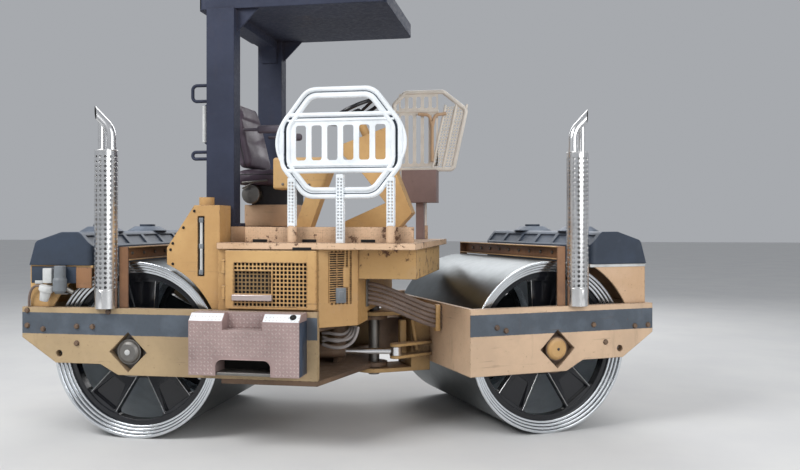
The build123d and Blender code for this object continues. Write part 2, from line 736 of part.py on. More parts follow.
FORK_LOW = YOKE_BOTTOM - BELLY_PLATE - FORK_GAP - FORK_PLATE
FORK_HIGH = DECK_LOW + DECK_PLATE + FORK_GAP
with BuildPart() as neck:
    for low in (FORK_LOW, FORK_HIGH):
        with BuildSketch(level(FRONT, low)):
            with Locations((FRONT_WALL / 2, 0)):
                Rectangle(FRONT_WALL, 2 * TONGUE_HALF)
            Circle(TONGUE_HALF)
            Circle(HITCH_PIN_R + RUNNING_FIT, mode=Mode.SUBTRACT)
        extrude(amount=FORK_PLATE)
    block(FRONT, (NECK_REAR, FRONT_WALL), (-TONGUE_HALF, TONGUE_HALF), (FORK_LOW + FORK_PLATE, FORK_HIGH))
    hollow_half = TONGUE_HALF - NECK_WALL
    block(FRONT, (NECK_REAR + NECK_WALL, FRONT_WALL), (-hollow_half, hollow_half),
          (FORK_LOW + FORK_PLATE, FORK_HIGH), Mode.SUBTRACT)
    for low in (CYLINDER_Z - EYE_BOSS / 2 - EAR_GAP - EAR_PLATE, CYLINDER_Z + EYE_BOSS / 2 + EAR_GAP):
        with BuildSketch(level(FRONT, low)):
            with BuildLine():
                Polyline(
                    (NECK_REAR + NECK_WALL, -TONGUE_HALF),
                    (FRONT_WALL, -TONGUE_HALF),
                    (FRONT_WALL, -TONGUE_HALF - EYE_BOSS_R),
                    (ROD_EYE[0], ROD_EYE[1] - EYE_BOSS_R),
                    (ROD_EYE[0], ROD_EYE[1] + EYE_BOSS_R),
                    close=True,
                )
            make_face()
            with Locations(ROD_EYE):
                Circle(EYE_BOSS_R)
        extrude(amount=EAR_PLATE)
save(neck, "front_neck")

with BuildPart() as pin:
    with BuildSketch(level(REAR, FORK_LOW - FORK_PLATE)):
        Circle(HITCH_PIN_R)
    extrude(amount=FORK_HIGH - FORK_LOW + 3 * FORK_PLATE)
save(pin, "hitch_pin")

# Steering cylinder, turned to the line between its two pins
eye = Vector(*ROD_EYE).rotate(Axis.Z, STEER_AT_REST)
reach = eye - Vector(*CYLINDER_BASE)
aim = REAR * Pos(*CYLINDER_BASE, CYLINDER_Z) * Location((0, 0, 0), (0, 0, degrees(atan2(reach.Y, reach.X))))
with BuildPart() as barrel:
    with BuildSketch(across(aim, 0)):
        Circle(BARREL_R)
    extrude(amount=BARREL_LENGTH)
    for start, radius in ((BARREL_LENGTH, ROD_R + FIT), (BARREL_LENGTH - GLAND, BARREL_R - BARREL_WALL)):
        with BuildSketch(across(aim, start)):
            Circle(radius)
        extrude(amount=2 * EYE_BOSS_R - start, mode=Mode.SUBTRACT)
    with BuildSketch(level(aim, -EYE_BOSS / 2)):
        Circle(EYE_BOSS_R)
    extrude(amount=EYE_BOSS)
    with BuildSketch(level(aim, -2 * EYE_BOSS)):
        Circle(BASE_PIN_R + RUNNING_FIT)
    extrude(amount=4 * EYE_BOSS, mode=Mode.SUBTRACT)
save(barrel, "steering_barrel")

with BuildPart() as rod:
    with BuildSketch(across(aim, reach.length - ROD_LENGTH)):
        Circle(ROD_R)
    extrude(amount=ROD_LENGTH)
    with BuildSketch(level(aim * Pos(reach.length, 0, 0), -EYE_BOSS / 2)):
        Circle(EYE_BOSS_R)
    extrude(amount=EYE_BOSS)
save(rod, "steering_rod")

with BuildPart() as base:
    base_x = (-BAY_REAR + CROSS_WALL, CYLINDER_BASE[0] + EYE_BOSS_R)
    base_y = (CYLINDER_BASE[1] - EYE_BOSS_R, CYLINDER_BASE[1] + EYE_BOSS_R)
    for low in (CYLINDER_Z - BARREL_R - EAR_GAP - EAR_PLATE, CYLINDER_Z + BARREL_R + EAR_GAP):
        block(REAR, base_x, base_y, (low, low + EAR_PLATE))
    with BuildSketch(level(REAR, CYLINDER_Z - BARREL_R - EAR_GAP)):
        with Locations(CYLINDER_BASE):
            Circle(BASE_PIN_R)
    extrude(amount=2 * (BARREL_R + EAR_GAP))
save(base, "cylinder_bracket")

# Engine bay walls with chamfered front corners, open under the front wall for the fork
BAY_OUTLINE = [
    (-BAY_REAR, -BAY_HALF), (-BAY_SQUARE_END, -BAY_HALF), (BAY_FRONT, -BAY_FRONT_HALF),
    (BAY_FRONT, BAY_FRONT_HALF), (-BAY_SQUARE_END, BAY_HALF), (-BAY_REAR, BAY_HALF),
]
DECK_TOP = DECK_LOW + DECK_PLATE
with BuildPart() as bay:
    with BuildSketch(level(REAR, DECK_TOP)):
        with BuildLine():
            Polyline(*BAY_OUTLINE, close=True)
        make_face()
        offset(amount=-BAY_WALL, kind=Kind.INTERSECTION, mode=Mode.SUBTRACT)
    extrude(amount=BAY_TOP - DECK_TOP)
    everywhere = (-YOKE_HALF, YOKE_HALF)
    block(REAR, (-2 * BAY_REAR, -BAY_SQUARE_END + FIT), everywhere, (DECK_LOW, YOKE_TOP), Mode.SUBTRACT)
    block(REAR, (-DOOR_REAR + DOOR_LAP, -DOOR_FRONT - DOOR_LAP), everywhere,
          (DOOR_LOW + DOOR_LAP, DOOR_HIGH - DOOR_LAP), Mode.SUBTRACT)
    block(REAR, (-BAY_WALL, 2 * BAY_FRONT), (-TONGUE_WINDOW_HALF, TONGUE_WINDOW_HALF),
          (DECK_LOW, TONGUE_WINDOW_TOP), Mode.SUBTRACT)
    chamfer_angle = degrees(atan2(BAY_CORNER, BAY_FRONT + BAY_SQUARE_END))
    chamfer_x = (BAY_FRONT - BAY_SQUARE_END) / 2
    for hand in (-1, 1):
        panel = REAR * Pos(chamfer_x, hand * (BAY_HALF + BAY_FRONT_HALF) / 2, 0)
        panel = panel * Location((0, 0, 0), (0, 0, -hand * chamfer_angle))
        with BuildSketch(side(panel, 0)):
            with Locations((VENT_SHIFT, VENT_Z)):
                with GridLocations(VENT_PITCH, 1, VENT_SLOTS, 1):
                    Rectangle(VENT_WIDTH, VENT_HEIGHT)
        extrude(amount=2 * BAY_WALL, both=True, mode=Mode.SUBTRACT)
    for hand in (-1, 1):
        hinge_y = hand * (BAY_HALF + DOOR_GAP + KNUCKLE_R)
        for z in (DOOR_LOW + KNUCKLE_RISE, DOOR_HIGH - KNUCKLE_RISE - KNUCKLE_LENGTH):
            for ear in (z - HINGE_EAR - FIT, z + KNUCKLE_LENGTH + FIT):
                block(REAR, (-DOOR_REAR - KNUCKLE_R, -DOOR_REAR + KNUCKLE_R),
                      (hand * BAY_HALF, hinge_y + hand * KNUCKLE_R), (ear, ear + HINGE_EAR))
            with BuildSketch(level(REAR, z - FIT)):
                with Locations((-DOOR_REAR, hinge_y)):
                    Circle(KNUCKLE_PIN_R)
            extrude(amount=KNUCKLE_LENGTH + 2 * FIT)
save(bay, "engine_bay")

with BuildPart() as engine:
    engine_x = (ENGINE_X - ENGINE_LENGTH / 2, ENGINE_X + ENGINE_LENGTH / 2)
    block(REAR, engine_x, (-ENGINE_WIDTH / 2, ENGINE_WIDTH / 2), (DECK_TOP, DECK_TOP + ENGINE_HEIGHT))
save(engine, "engine_block")

# Engine doors with a grid of round vents
for name, hand in (("near", -1), ("far", 1)):
    inner = hand * (BAY_HALF + DOOR_GAP)
    with BuildPart() as door:
        block(REAR, (-DOOR_REAR, -DOOR_FRONT), (inner, inner + hand * 2 * KNUCKLE_R), (DOOR_LOW, DOOR_HIGH))
        outer = inner + hand * 2 * KNUCKLE_R
        with BuildSketch(side(REAR, inner)):
            with Locations((GRILLE_X, GRILLE_Z)):
                with GridLocations(GRILLE_PITCH, GRILLE_PITCH, GRILLE_COLUMNS, GRILLE_ROWS):
                    RegularPolygon(GRILLE_HOLE_R, GRILLE_SIDES)
            with Locations((sum(POCKET_X) / 2, sum(POCKET_Z) / 2)):
                Rectangle(POCKET_X[1] - POCKET_X[0], POCKET_Z[1] - POCKET_Z[0], mode=Mode.SUBTRACT)
        extrude(amount=-hand * 3 * KNUCKLE_R, mode=Mode.SUBTRACT)
        block(REAR, POCKET_X, (outer - hand * POCKET_DEEP, outer), POCKET_Z, Mode.SUBTRACT)
        block(REAR, POCKET_X, (outer, outer + hand * LEDGE_OUT), (POCKET_Z[0] - LEDGE_HEIGHT, POCKET_Z[0]))
        for z in (DOOR_LOW + KNUCKLE_RISE, DOOR_HIGH - KNUCKLE_RISE - KNUCKLE_LENGTH):
            low = z - HINGE_EAR - 2 * FIT - SLIDE_GAP
            high = z + KNUCKLE_LENGTH + HINGE_EAR + 2 * FIT + SLIDE_GAP
            block(REAR, (-DOOR_REAR - SLIDE_GAP, -DOOR_REAR + 3 * KNUCKLE_R),
                  (inner, inner + hand * 2 * KNUCKLE_R), (low, high), Mode.SUBTRACT)
            block(REAR, (-DOOR_REAR, -DOOR_REAR + 3 * KNUCKLE_R),
                  (inner + hand * KNUCKLE_R / 2, inner + hand * 3 * KNUCKLE_R / 2), (z, z + KNUCKLE_LENGTH))
            with BuildSketch(level(REAR, z)):
                with Locations((-DOOR_REAR, inner + hand * KNUCKLE_R)):
                    Circle(KNUCKLE_R)
            extrude(amount=KNUCKLE_LENGTH)
            with BuildSketch(level(REAR, z)):
                with Locations((-DOOR_REAR, inner + hand * KNUCKLE_R)):
                    Circle(KNUCKLE_PIN_R + RUNNING_FIT)
            extrude(amount=KNUCKLE_LENGTH, mode=Mode.SUBTRACT)
    save(door, f"{name}_engine_door")

# Platform with its overhanging front tray, and the raised seat deck
with BuildPart() as platform:
    block(REAR, (-BAY_REAR, PLATFORM_FRONT), (-PLATFORM_HALF, PLATFORM_HALF), (BAY_TOP, PLATFORM_TOP))
    block(REAR, (BAY_FRONT, OVERHANG_FRONT), (-OVERHANG_HALF, OVERHANG_HALF), (OVERHANG_LOW, BAY_TOP))
    block(REAR, (BAY_FRONT + TRAY_WALL, OVERHANG_FRONT - TRAY_WALL),
          (-OVERHANG_HALF + TRAY_WALL, OVERHANG_HALF - TRAY_WALL), (OVERHANG_LOW, BAY_TOP), Mode.SUBTRACT)
    block(REAR, (-TOE_BOARD_REAR, OVERHANG_FRONT), (TOE_BOARD_Y, TOE_BOARD_Y + TRAY_WALL),
          (PLATFORM_TOP, PLATFORM_TOP + TOE_BOARD_HEIGHT))
    for rail_y, posts in ((-RAIL_Y, NEAR_POSTS), (RAIL_Y, FAR_POSTS)):
        for x in posts:
            with BuildSketch(level(REAR, PLATFORM_TOP)):
                with Locations((x, rail_y)):
                    Circle(SOCKET_R)
                    Circle(RAIL_POST_R + FIT, mode=Mode.SUBTRACT)
            extrude(amount=SOCKET_HEIGHT)
save(platform, "platform")

with BuildPart() as seat_deck:
    deck_x = (-SEAT_DECK_REAR, -SEAT_DECK_FRONT)
    block(REAR, deck_x, (-SEAT_DECK_HALF, SEAT_DECK_HALF), (PLATFORM_TOP, SEAT_DECK_TOP))
    block(REAR, (deck_x[0] + TRAY_WALL, deck_x[1] - TRAY_WALL),
          (-SEAT_DECK_HALF + TRAY_WALL, SEAT_DECK_HALF - TRAY_WALL),
          (PLATFORM_TOP, SEAT_DECK_TOP - TRAY_WALL), Mode.SUBTRACT)
save(seat_deck, "seat_deck")

# Side tanks, cut round the drum
for name, y in (("near", -SIDE_TANK_OUT), ("far", SIDE_TANK_IN)):
    with BuildPart() as side_tank:
        with BuildSketch(side(REAR, y)):
            with BuildLine():
                Polyline(
                    (-BAY_REAR, YOKE_TOP),
                    (-BAY_REAR, SIDE_TANK_TOP),
                    (-SIDE_TANK_SLOPE_X, SIDE_TANK_TOP),
                    (-SIDE_TANK_REAR, SIDE_TANK_SLOPE_Z),
                    (-SIDE_TANK_REAR, YOKE_TOP),
                    close=True,
                )
            make_face()
            with Locations((-REAR_AXLE, 0)):
                Circle(DRUM_R + DRUM_CLEAR, mode=Mode.SUBTRACT)
        extrude(amount=-(SIDE_TANK_OUT - SIDE_TANK_IN))
        hand = -1 if y < 0 else 1
        face = hand * SIDE_TANK_OUT
        block(REAR, (GAUGE_X - GAUGE_WIDTH / 2, GAUGE_X + GAUGE_WIDTH / 2), (face - hand * GAUGE_DEEP, face),
              GAUGE_Z, Mode.SUBTRACT)
        with BuildSketch(level(REAR, SIDE_TANK_TOP)):
            with Locations((GAUGE_X, hand * (SIDE_TANK_OUT + SIDE_TANK_IN) / 2)):
                Circle(TANK_CAP_R)
        extrude(amount=TANK_CAP)
    save(side_tank, f"{name}_side_tank")

# Roll bar posts on their foot plates, and the canopy with the arched header between them
for name, hand in (("near", -1), ("far", 1)):
    with BuildPart() as post:
        foot = POST_FOOT_MARGIN
        post_x = (POST_X - POST_LENGTH / 2, POST_X + POST_LENGTH / 2)
        post_y = (hand * POST_HALF - POST_WIDTH / 2, hand * POST_HALF + POST_WIDTH / 2)
        block(REAR, (post_x[0] - foot, post_x[1] + foot), post_y, (SEAT_DECK_TOP, SEAT_DECK_TOP + POST_FOOT))
        block(REAR, post_x, post_y, (SEAT_DECK_TOP + POST_FOOT, CANOPY_LOW))
        with BuildSketch(side(REAR, hand * POST_HALF + GUSSET_PLATE / 2)):
            Polygon(
                (post_x[1], CANOPY_LOW),
                (post_x[1], CANOPY_LOW - GUSSET),
                (post_x[1] + GUSSET, CANOPY_LOW),
                align=None,
            )
        extrude(amount=GUSSET_PLATE)
        if name == "near":
            rungs = [(low, high, HANDLE_OUT) for low, high in HANDLE_HEIGHTS] + [(*GRAB_BAR, GRAB_BAR_OUT)]
            for low, high, reach_out in rungs:
                with BuildLine(side(REAR, -POST_HALF)) as handle:
                    FilletPolyline(
                        (post_x[0] + HANDLE_TUBE, low),
                        (post_x[0] - reach_out, low),
                        (post_x[0] - reach_out, high),
                        (post_x[0] + HANDLE_TUBE, high),
                        radius=min(HANDLE_BEND, (high - low) / 2 - FIT, reach_out - FIT),
                    )
                with BuildSketch(across(REAR, post_x[0] + HANDLE_TUBE)):
                    with Locations((-POST_HALF, low)):
                        Circle(HANDLE_TUBE)
                sweep(path=handle.wires()[0])
    save(post, f"{name}_roll_bar_post")

with BuildPart() as canopy:
    canopy_x = (-CANOPY_REAR, CANOPY_FRONT)
    block(REAR, canopy_x, (-CANOPY_HALF, CANOPY_HALF), (CANOPY_LOW, CANOPY_TOP))
    fillet(canopy.edges().filter_by(Axis.Z), CANOPY_ROUND)
    block(REAR, (canopy_x[0] + CANOPY_SHEET, canopy_x[1] - CANOPY_SHEET),
          (-CANOPY_HALF + CANOPY_SHEET, CANOPY_HALF - CANOPY_SHEET),
          (CANOPY_LOW + CANOPY_SHEET, CANOPY_TOP - CANOPY_SHEET), Mode.SUBTRACT)
    header_width = 2 * POST_HALF - POST_WIDTH
    with BuildSketch(across(REAR, POST_X - HEADER_LENGTH / 2)):
        with Locations((0, CANOPY_LOW - HEADER_DROP / 2)):
            Rectangle(header_width, HEADER_DROP)
        with Locations((0, CANOPY_LOW - HEADER_STRIP - HEADER_DROP)):
            RectangleRounded(header_width - 2 * HEADER_LEG, 2 * HEADER_DROP, HEADER_ROUND, mode=Mode.SUBTRACT)
    extrude(amount=HEADER_LENGTH)
save(canopy, "canopy")

# Seat: box, base, cushion and back
with BuildPart() as seat_base:
    half = SEAT_BOX / 2
    block(REAR, (SEAT_X - half, SEAT_X + half), (-half, half),
          (SEAT_DECK_TOP, SEAT_DECK_TOP + SEAT_BOX_HEIGHT))
    block(REAR, (SEAT_X - SEAT_STEM / 2, SEAT_X + SEAT_STEM / 2), (-SEAT_STEM / 2, SEAT_STEM / 2),
          (SEAT_DECK_TOP + SEAT_BOX_HEIGHT, CUSHION_LOW))
save(seat_base, "seat_base")

with BuildPart() as cushion:
    half = SEAT_WIDTH / 2
    block(REAR, (SEAT_X - half, SEAT_X + half), (-half, half), (CUSHION_LOW + FIT, CUSHION_LOW + CUSHION))
    fillet(cushion.edges(), CUSHION / 4)
save(cushion, "seat_cushion")

# The back stands on the cushion on its rounded lower edge
BACK_ROUND = BACK_THICK / 4
back_foot = Pos(SEAT_X - SEAT_WIDTH / 2 + BACK_THICK / 2 + BACK_ROUND, 0, CUSHION_LOW + CUSHION + FIT)
recline = REAR * back_foot * Location((0, 0, 0), (0, -BACK_TILT, 0))
with BuildPart() as back:
    half = SEAT_WIDTH / 2
    lean = radians(BACK_TILT)
    lift = (BACK_ROUND + (BACK_THICK / 2 - BACK_ROUND) * sin(lean)) / cos(lean) - BACK_ROUND
    block(recline, (-BACK_THICK / 2, BACK_THICK / 2), (-half, half), (lift, lift + BACK_HEIGHT))
    fillet(back.edges(), BACK_ROUND)
    for hand in (-1, 1):
        with BuildSketch(side(REAR, hand * (half - ARM_BITE))):
            with Locations((sum(ARM_X) / 2, sum(ARM_Z) / 2)):
                RectangleRounded(ARM_X[1] - ARM_X[0], ARM_Z[1] - ARM_Z[0], (ARM_Z[1] - ARM_Z[0]) / 3)
        extrude(amount=-hand * ARM_WIDTH)
save(back, "seat_back")

# Console on its slanted foot, and the bent steering pedestal with its wheel
with BuildPart() as console:
    with BuildSketch(side(REAR, CONSOLE_Y + CONSOLE_WIDTH / 2)):
        with BuildLine():
            Polyline(
                (-CONSOLE_REAR, CONSOLE_LOW),
                (-CONSOLE_REAR, CONSOLE_HIGH),
                (-CONSOLE_FRONT - CONSOLE_NOSE, CONSOLE_HIGH),
                (-CONSOLE_FRONT, CONSOLE_HIGH - CONSOLE_NOSE),
                (-CONSOLE_FRONT - CONSOLE_NOSE, CONSOLE_LOW),
                close=True,
            )
        make_face()
    extrude(amount=CONSOLE_WIDTH)
    fillet(console.edges(), CONSOLE_ROUND)
    with BuildSketch(side(REAR, CONSOLE_Y + CONSOLE_WIDTH / 3)):
        with BuildLine():
            Polyline(
                (-CONSOLE_REAR + CONSOLE_LEG, PLATFORM_TOP),
                (-CONSOLE_REAR + 2 * CONSOLE_LEG, PLATFORM_TOP),
                (-CONSOLE_FRONT - CONSOLE_LEG / 2, CONSOLE_LOW),
                (-CONSOLE_FRONT - 3 * CONSOLE_LEG / 2, CONSOLE_LOW),
                close=True,
            )
        make_face()
    extrude(amount=CONSOLE_WIDTH * 2 / 3)
save(console, "console")

wheel_place = Pos(WHEEL_CENTRE[0], PEDESTAL_Y, WHEEL_CENTRE[1])
wheel_seat = REAR * wheel_place * Location((0, 0, 0), (0, -WHEEL_TILT, 0))
with BuildPart() as pedestal:
    with BuildSketch(side(REAR, PEDESTAL_Y + PEDESTAL_WIDTH / 2)) as outline:
        Polygon(
            (PEDESTAL_HEEL[0], PLATFORM_TOP),
            PEDESTAL_HEEL, PEDESTAL_INNER, DASH_LOW, DASH_TIP, DASH_TOP,
            DASH_FRONT, DASH_FOOT, PEDESTAL_KNEE, PEDESTAL_TOE,
            (PEDESTAL_TOE[0], PLATFORM_TOP),
            align=None,
        )
        fillet(outline.vertices().group_by(Axis.Z)[1:], DASH_ROUND)
    extrude(amount=PEDESTAL_WIDTH)
    with BuildSketch(level(wheel_seat, -WHEEL_HUB)):
        Circle(COLUMN_R)
    extrude(amount=-COLUMN_LENGTH)
save(pedestal, "steering_pedestal")

with BuildPart() as steering_wheel:
    with BuildSketch(Plane(wheel_seat * Plane.XZ.location)):
        with Locations((STEER_WHEEL_R, 0)):
            Circle(STEER_WHEEL_TUBE)
    revolve(axis=Axis(wheel_seat.position, Plane(wheel_seat).z_dir))
    for spoke in range(WHEEL_ARMS):
        arm = wheel_seat * Location((0, 0, 0), (0, 0, 360 / WHEEL_ARMS * spoke))
        block(arm, (0, STEER_WHEEL_R), (-STEER_WHEEL_TUBE, STEER_WHEEL_TUBE),
              (-STEER_WHEEL_TUBE / 2, STEER_WHEEL_TUBE / 2))
    with BuildSketch(level(wheel_seat, -WHEEL_HUB)):
        Circle(WHEEL_HUB_R)
    extrude(amount=WHEEL_HUB + STEER_WHEEL_TUBE)
save(steering_wheel, "steering_wheel")

# Near railing: a band between two tube loops round a slotted panel, on two round posts and a square one
rail_x = (-RAIL_REAR, RAIL_FRONT)
rail_z = (RAIL_LOW, RAIL_HIGH)
inner_x = (rail_x[0] + RAIL_BAND, rail_x[1] - RAIL_BAND)
inner_z = (rail_z[0] + RAIL_BAND, rail_z[1] - RAIL_BAND)
inner_corner = RAIL_CORNER - RAIL_BAND * (2 - sqrt(2))
LOOPS = (octagon(rail_x, rail_z, RAIL_CORNER), octagon(inner_x, inner_z, inner_corner))
middle = sum(rail_x) / 2
with BuildPart() as railing:
    near_face = side(REAR, -RAIL_Y + RAIL_SHEET / 2)
    with BuildSketch(near_face):
        for loop, bend, mode in zip(LOOPS, (RAIL_BEND, RAIL_BEND - RAIL_TUBE), (Mode.ADD, Mode.SUBTRACT)):
            with BuildLine():
                FilletPolyline(*loop, radius=bend, close=True)
            make_face(mode=mode)
        with Locations((middle, (RAIL_SHEET_LOW + RAIL_SHEET_HIGH) / 2)):
            Rectangle(rail_x[1] - rail_x[0] + 2 * RAIL_SHEET_OVER, RAIL_SHEET_HIGH - RAIL_SHEET_LOW)
            with GridLocations(RAIL_SLOT_PITCH, 1, RAIL_SLOTS, 1):
                RectangleRounded(RAIL_SLOT_WIDTH, RAIL_SLOT_HEIGHT, RAIL_SLOT_ROUND, mode=Mode.SUBTRACT)
    extrude(amount=RAIL_SHEET)
    for loop, bend in zip(LOOPS, (RAIL_BEND, RAIL_BEND - RAIL_TUBE)):
        with BuildLine(side(REAR, -RAIL_Y)) as path:
            FilletPolyline(*loop, radius=bend, close=True)
        with BuildSketch(across(REAR, middle)):
            with Locations((-RAIL_Y, loop[0][1])):
                Circle(RAIL_TUBE)
        sweep(path=path.wires()[0])
    for z in (RAIL_SHEET_LOW, RAIL_SHEET_HIGH):
        with BuildSketch(across(REAR, rail_x[0] - RAIL_SHEET_OVER)):
            with Locations((-RAIL_Y, z)):
                Circle(RAIL_TUBE)
        extrude(amount=rail_x[1] - rail_x[0] + 2 * RAIL_SHEET_OVER)
    for x in NEAR_POSTS:
        with BuildSketch(level(REAR, PLATFORM_TOP)):
            with Locations((x, -RAIL_Y)):
                Circle(RAIL_POST_R)
        extrude(amount=RAIL_POST_TOP - PLATFORM_TOP)
    block(REAR, (middle - MIDDLE_POST / 2, middle + MIDDLE_POST / 2),
          (-RAIL_Y - MIDDLE_POST / 2, -RAIL_Y + MIDDLE_POST / 2), (PLATFORM_TOP, RAIL_SHEET_LOW))
save(railing, "near_railing")

# Far railing: a leaning loop round a panel with two rows of slots and a perforated band at its front
with BuildPart() as railing:
    with BuildSketch(side(REAR, RAIL_Y + RAIL_SHEET / 2)):
        with BuildLine():
            FilletPolyline(*FAR_LOOP, radius=FAR_BEND, close=True)
        make_face()
        for low, high in FAR_SLOT_ROWS:
            with Locations((FAR_SLOT_X, (low + high) / 2)):
                with GridLocations(FAR_SLOT_PITCH, 1, FAR_SLOTS, 1):
                    RectangleRounded(FAR_SLOT_WIDTH, high - low, RAIL_SLOT_ROUND, mode=Mode.SUBTRACT)
        with Locations(Location((BAND_X, BAND_Z, 0), (0, 0, -BAND_LEAN))):
            with GridLocations(BAND_PITCH, BAND_PITCH, BAND_COLUMNS, BAND_ROWS):
                RegularPolygon(BAND_HOLE_R, GRILLE_SIDES, mode=Mode.SUBTRACT)
    extrude(amount=RAIL_SHEET)
    with BuildLine(side(REAR, RAIL_Y)) as path:
        FilletPolyline(*FAR_LOOP, radius=FAR_BEND, close=True)
    with BuildSketch(across(REAR, (FAR_LOOP[0][0] + FAR_LOOP[1][0]) / 2)):
        with Locations((RAIL_Y, FAR_LOOP[0][1])):
            Circle(RAIL_POST_R)
    sweep(path=path.wires()[0])
    for x in FAR_POSTS:
        with BuildSketch(level(REAR, PLATFORM_TOP)):
            with Locations((x, RAIL_Y)):
                Circle(RAIL_POST_R)
        extrude(amount=FAR_LOOP[0][1] - PLATFORM_TOP)
save(railing, "far_railing")

with BuildPart() as control_box:
    half = BOX_LENGTH / 2
    block(REAR, (BOX_X - half, BOX_X + half), (BOX_Y - BOX_WIDTH / 2, BOX_Y + BOX_WIDTH / 2),
          (BOX_LOW, BOX_HIGH))
    block(REAR, (BOX_X - BOX_POST / 2, BOX_X + BOX_POST / 2), (BOX_Y - BOX_POST / 2, BOX_Y + BOX_POST / 2),
          (PLATFORM_TOP, BOX_LOW))
save(control_box, "control_box")

# Step box of bent tread plate, with a foot slot below and a notch in its top edge
with BuildPart() as step_box:
    box_x = (-STEP_BOX_REAR, -STEP_BOX_FRONT)
    box_y = (-YOKE_HALF - STEP_BOX_DEEP, -YOKE_HALF)
    block(REAR, box_x, box_y, (STEP_BOX_LOW, STEP_BOX_HIGH))
    outer = step_box.edges().filter_by(Axis.X).group_by(Axis.Y)[0]
    chamfer(outer.sort_by(Axis.Z)[-1], STEP_BOX_BEVEL)
    block(REAR, (-STEP_SLOT_REAR, -STEP_SLOT_FRONT), (box_y[0], box_y[1] - TRAY_WALL),
          (STEP_BOX_LOW, STEP_SLOT_HIGH), Mode.SUBTRACT)
    block(REAR, (-STEP_NOTCH_REAR, -STEP_NOTCH_FRONT), (box_y[0], box_y[0] + STEP_NOTCH_DEEP),
          (STEP_NOTCH_LOW, STEP_BOX_HIGH), Mode.SUBTRACT)
save(step_box, "step_box")

# Hoses from the engine bay down to the cross wall of the front yoke
neck_turn = FRONT * Pos(FRONT_WALL, HOSE_END_Y, HOSE_END_Z)
for_hose = REAR.inverse() * neck_turn
hose_end = for_hose.position
with BuildPart() as hoses:
    for lane in range(HOSES):
        drop = lane * HOSE_PITCH
        with BuildLine(Plane(REAR)) as route:
            FilletPolyline(
                (BAY_FRONT, HOSE_START_Y, HOSE_START_Z - drop),
                (BAY_FRONT + HOSE_LEAD, HOSE_START_Y, HOSE_START_Z - drop),
                (hose_end.X - HOSE_LEAD * cos(turn), hose_end.Y - HOSE_LEAD * sin(turn), hose_end.Z - drop),
                (hose_end.X, hose_end.Y, hose_end.Z - drop),
                radius=HOSE_BEND,
            )
        with BuildSketch(across(REAR, BAY_FRONT)):
            with Locations((HOSE_START_Y, HOSE_START_Z - drop)):
                Circle(HOSE_R)
        sweep(path=route.wires()[0])
save(hoses, "hitch_hoses")
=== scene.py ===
"""Looks of the articulated road roller: finishes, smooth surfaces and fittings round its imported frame.

Places are in metres in the frame of the end that carries the piece: x forward from the hitch pin, y to the
left of the middle and z up from the axles. rear() and front() turn them into the frame's own places."""

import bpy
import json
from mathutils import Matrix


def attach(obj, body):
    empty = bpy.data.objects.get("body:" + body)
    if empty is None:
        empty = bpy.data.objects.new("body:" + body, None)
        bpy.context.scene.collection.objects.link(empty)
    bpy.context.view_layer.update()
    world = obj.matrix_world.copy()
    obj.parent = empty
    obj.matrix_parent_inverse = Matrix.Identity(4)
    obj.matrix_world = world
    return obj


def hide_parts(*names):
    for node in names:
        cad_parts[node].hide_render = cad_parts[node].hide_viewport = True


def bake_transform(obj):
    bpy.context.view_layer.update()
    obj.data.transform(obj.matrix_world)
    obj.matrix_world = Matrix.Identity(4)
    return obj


bl_info = {
    "name": "Road Roller Looks",
    "version": (1, 0, 0),
    "blender": (4, 5, 0),
    "location": "3D View > Sidebar > Roller",
    "description": "Dresses the packed road roller with finished surfaces, fittings and a studio stage",
    "category": "Object",
}

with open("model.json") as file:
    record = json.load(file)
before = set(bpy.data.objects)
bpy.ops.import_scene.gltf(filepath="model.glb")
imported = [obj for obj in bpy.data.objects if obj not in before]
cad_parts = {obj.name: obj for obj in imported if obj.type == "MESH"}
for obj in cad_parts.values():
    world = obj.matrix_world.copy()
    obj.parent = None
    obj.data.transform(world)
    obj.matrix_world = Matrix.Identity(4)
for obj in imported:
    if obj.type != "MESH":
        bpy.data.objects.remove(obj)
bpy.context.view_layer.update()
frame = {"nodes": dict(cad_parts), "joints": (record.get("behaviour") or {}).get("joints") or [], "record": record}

import json
import math

import bmesh
import bpy
import numpy as np
from mathutils import Vector

NODES = frame["nodes"]
JOINTS = {joint["name"]: joint for joint in frame["joints"]}
REAR_AXLE = np.array(JOINTS["rear_drum_spin"]["pos_m"])
FRONT_AXLE = np.array(JOINTS["front_drum_spin"]["pos_m"])
FRONT_SIDE = np.array(JOINTS["front_drum_spin"]["axis"])
HITCH = np.array(JOINTS["steering"]["pos_m"]) * (1, 1, 0) + REAR_AXLE * (0, 0, 1)
STEER = math.atan2(-FRONT_SIDE[0], FRONT_SIDE[1])


# Frames of the two ends

def rear(points):
    """Places on the rear frame moved to the hitch."""
    return np.asarray(points, float) + HITCH


def front(points):
    """Places on the front frame turned by the steering angle and moved to the hitch."""
    points = np.asarray(points, float)
    x, y, z = points[..., 0], points[..., 1], points[..., 2]
    turned = (x * math.cos(STEER) - y * math.sin(STEER), x * math.sin(STEER) + y * math.cos(STEER), z)
    return np.stack(turned, -1) + HITCH


# Each end: its frame, its axle's place along it and the direction away from the hitch
ENDS = {
    "rear": (rear, -math.dist(REAR_AXLE, HITCH), -1),
    "front": (front, math.dist(FRONT_AXLE, HITCH), 1),
}

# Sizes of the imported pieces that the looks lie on
YOKE_HALF = 0.800
YOKE_TOP = 0.277
DRUM_R = REAR_AXLE[2]
DRUM_HALF = 0.710
CARRIER_HALF = 0.771
TANK_LOW = 0.547
TANK_END = 0.700
TANK_INNER = 0.260
BAY_HALF = 0.768
BAY_FRONT = 0.020
BAY_FRONT_HALF = 0.590
BAY_SQUARE_END = -0.185
PLATFORM_TOP = 0.697
RAIL_Y = 0.735


# Surfaces

def unit(vectors):
    """Vectors at length one."""
    return vectors / np.linalg.norm(vectors, axis=-1, keepdims=True)


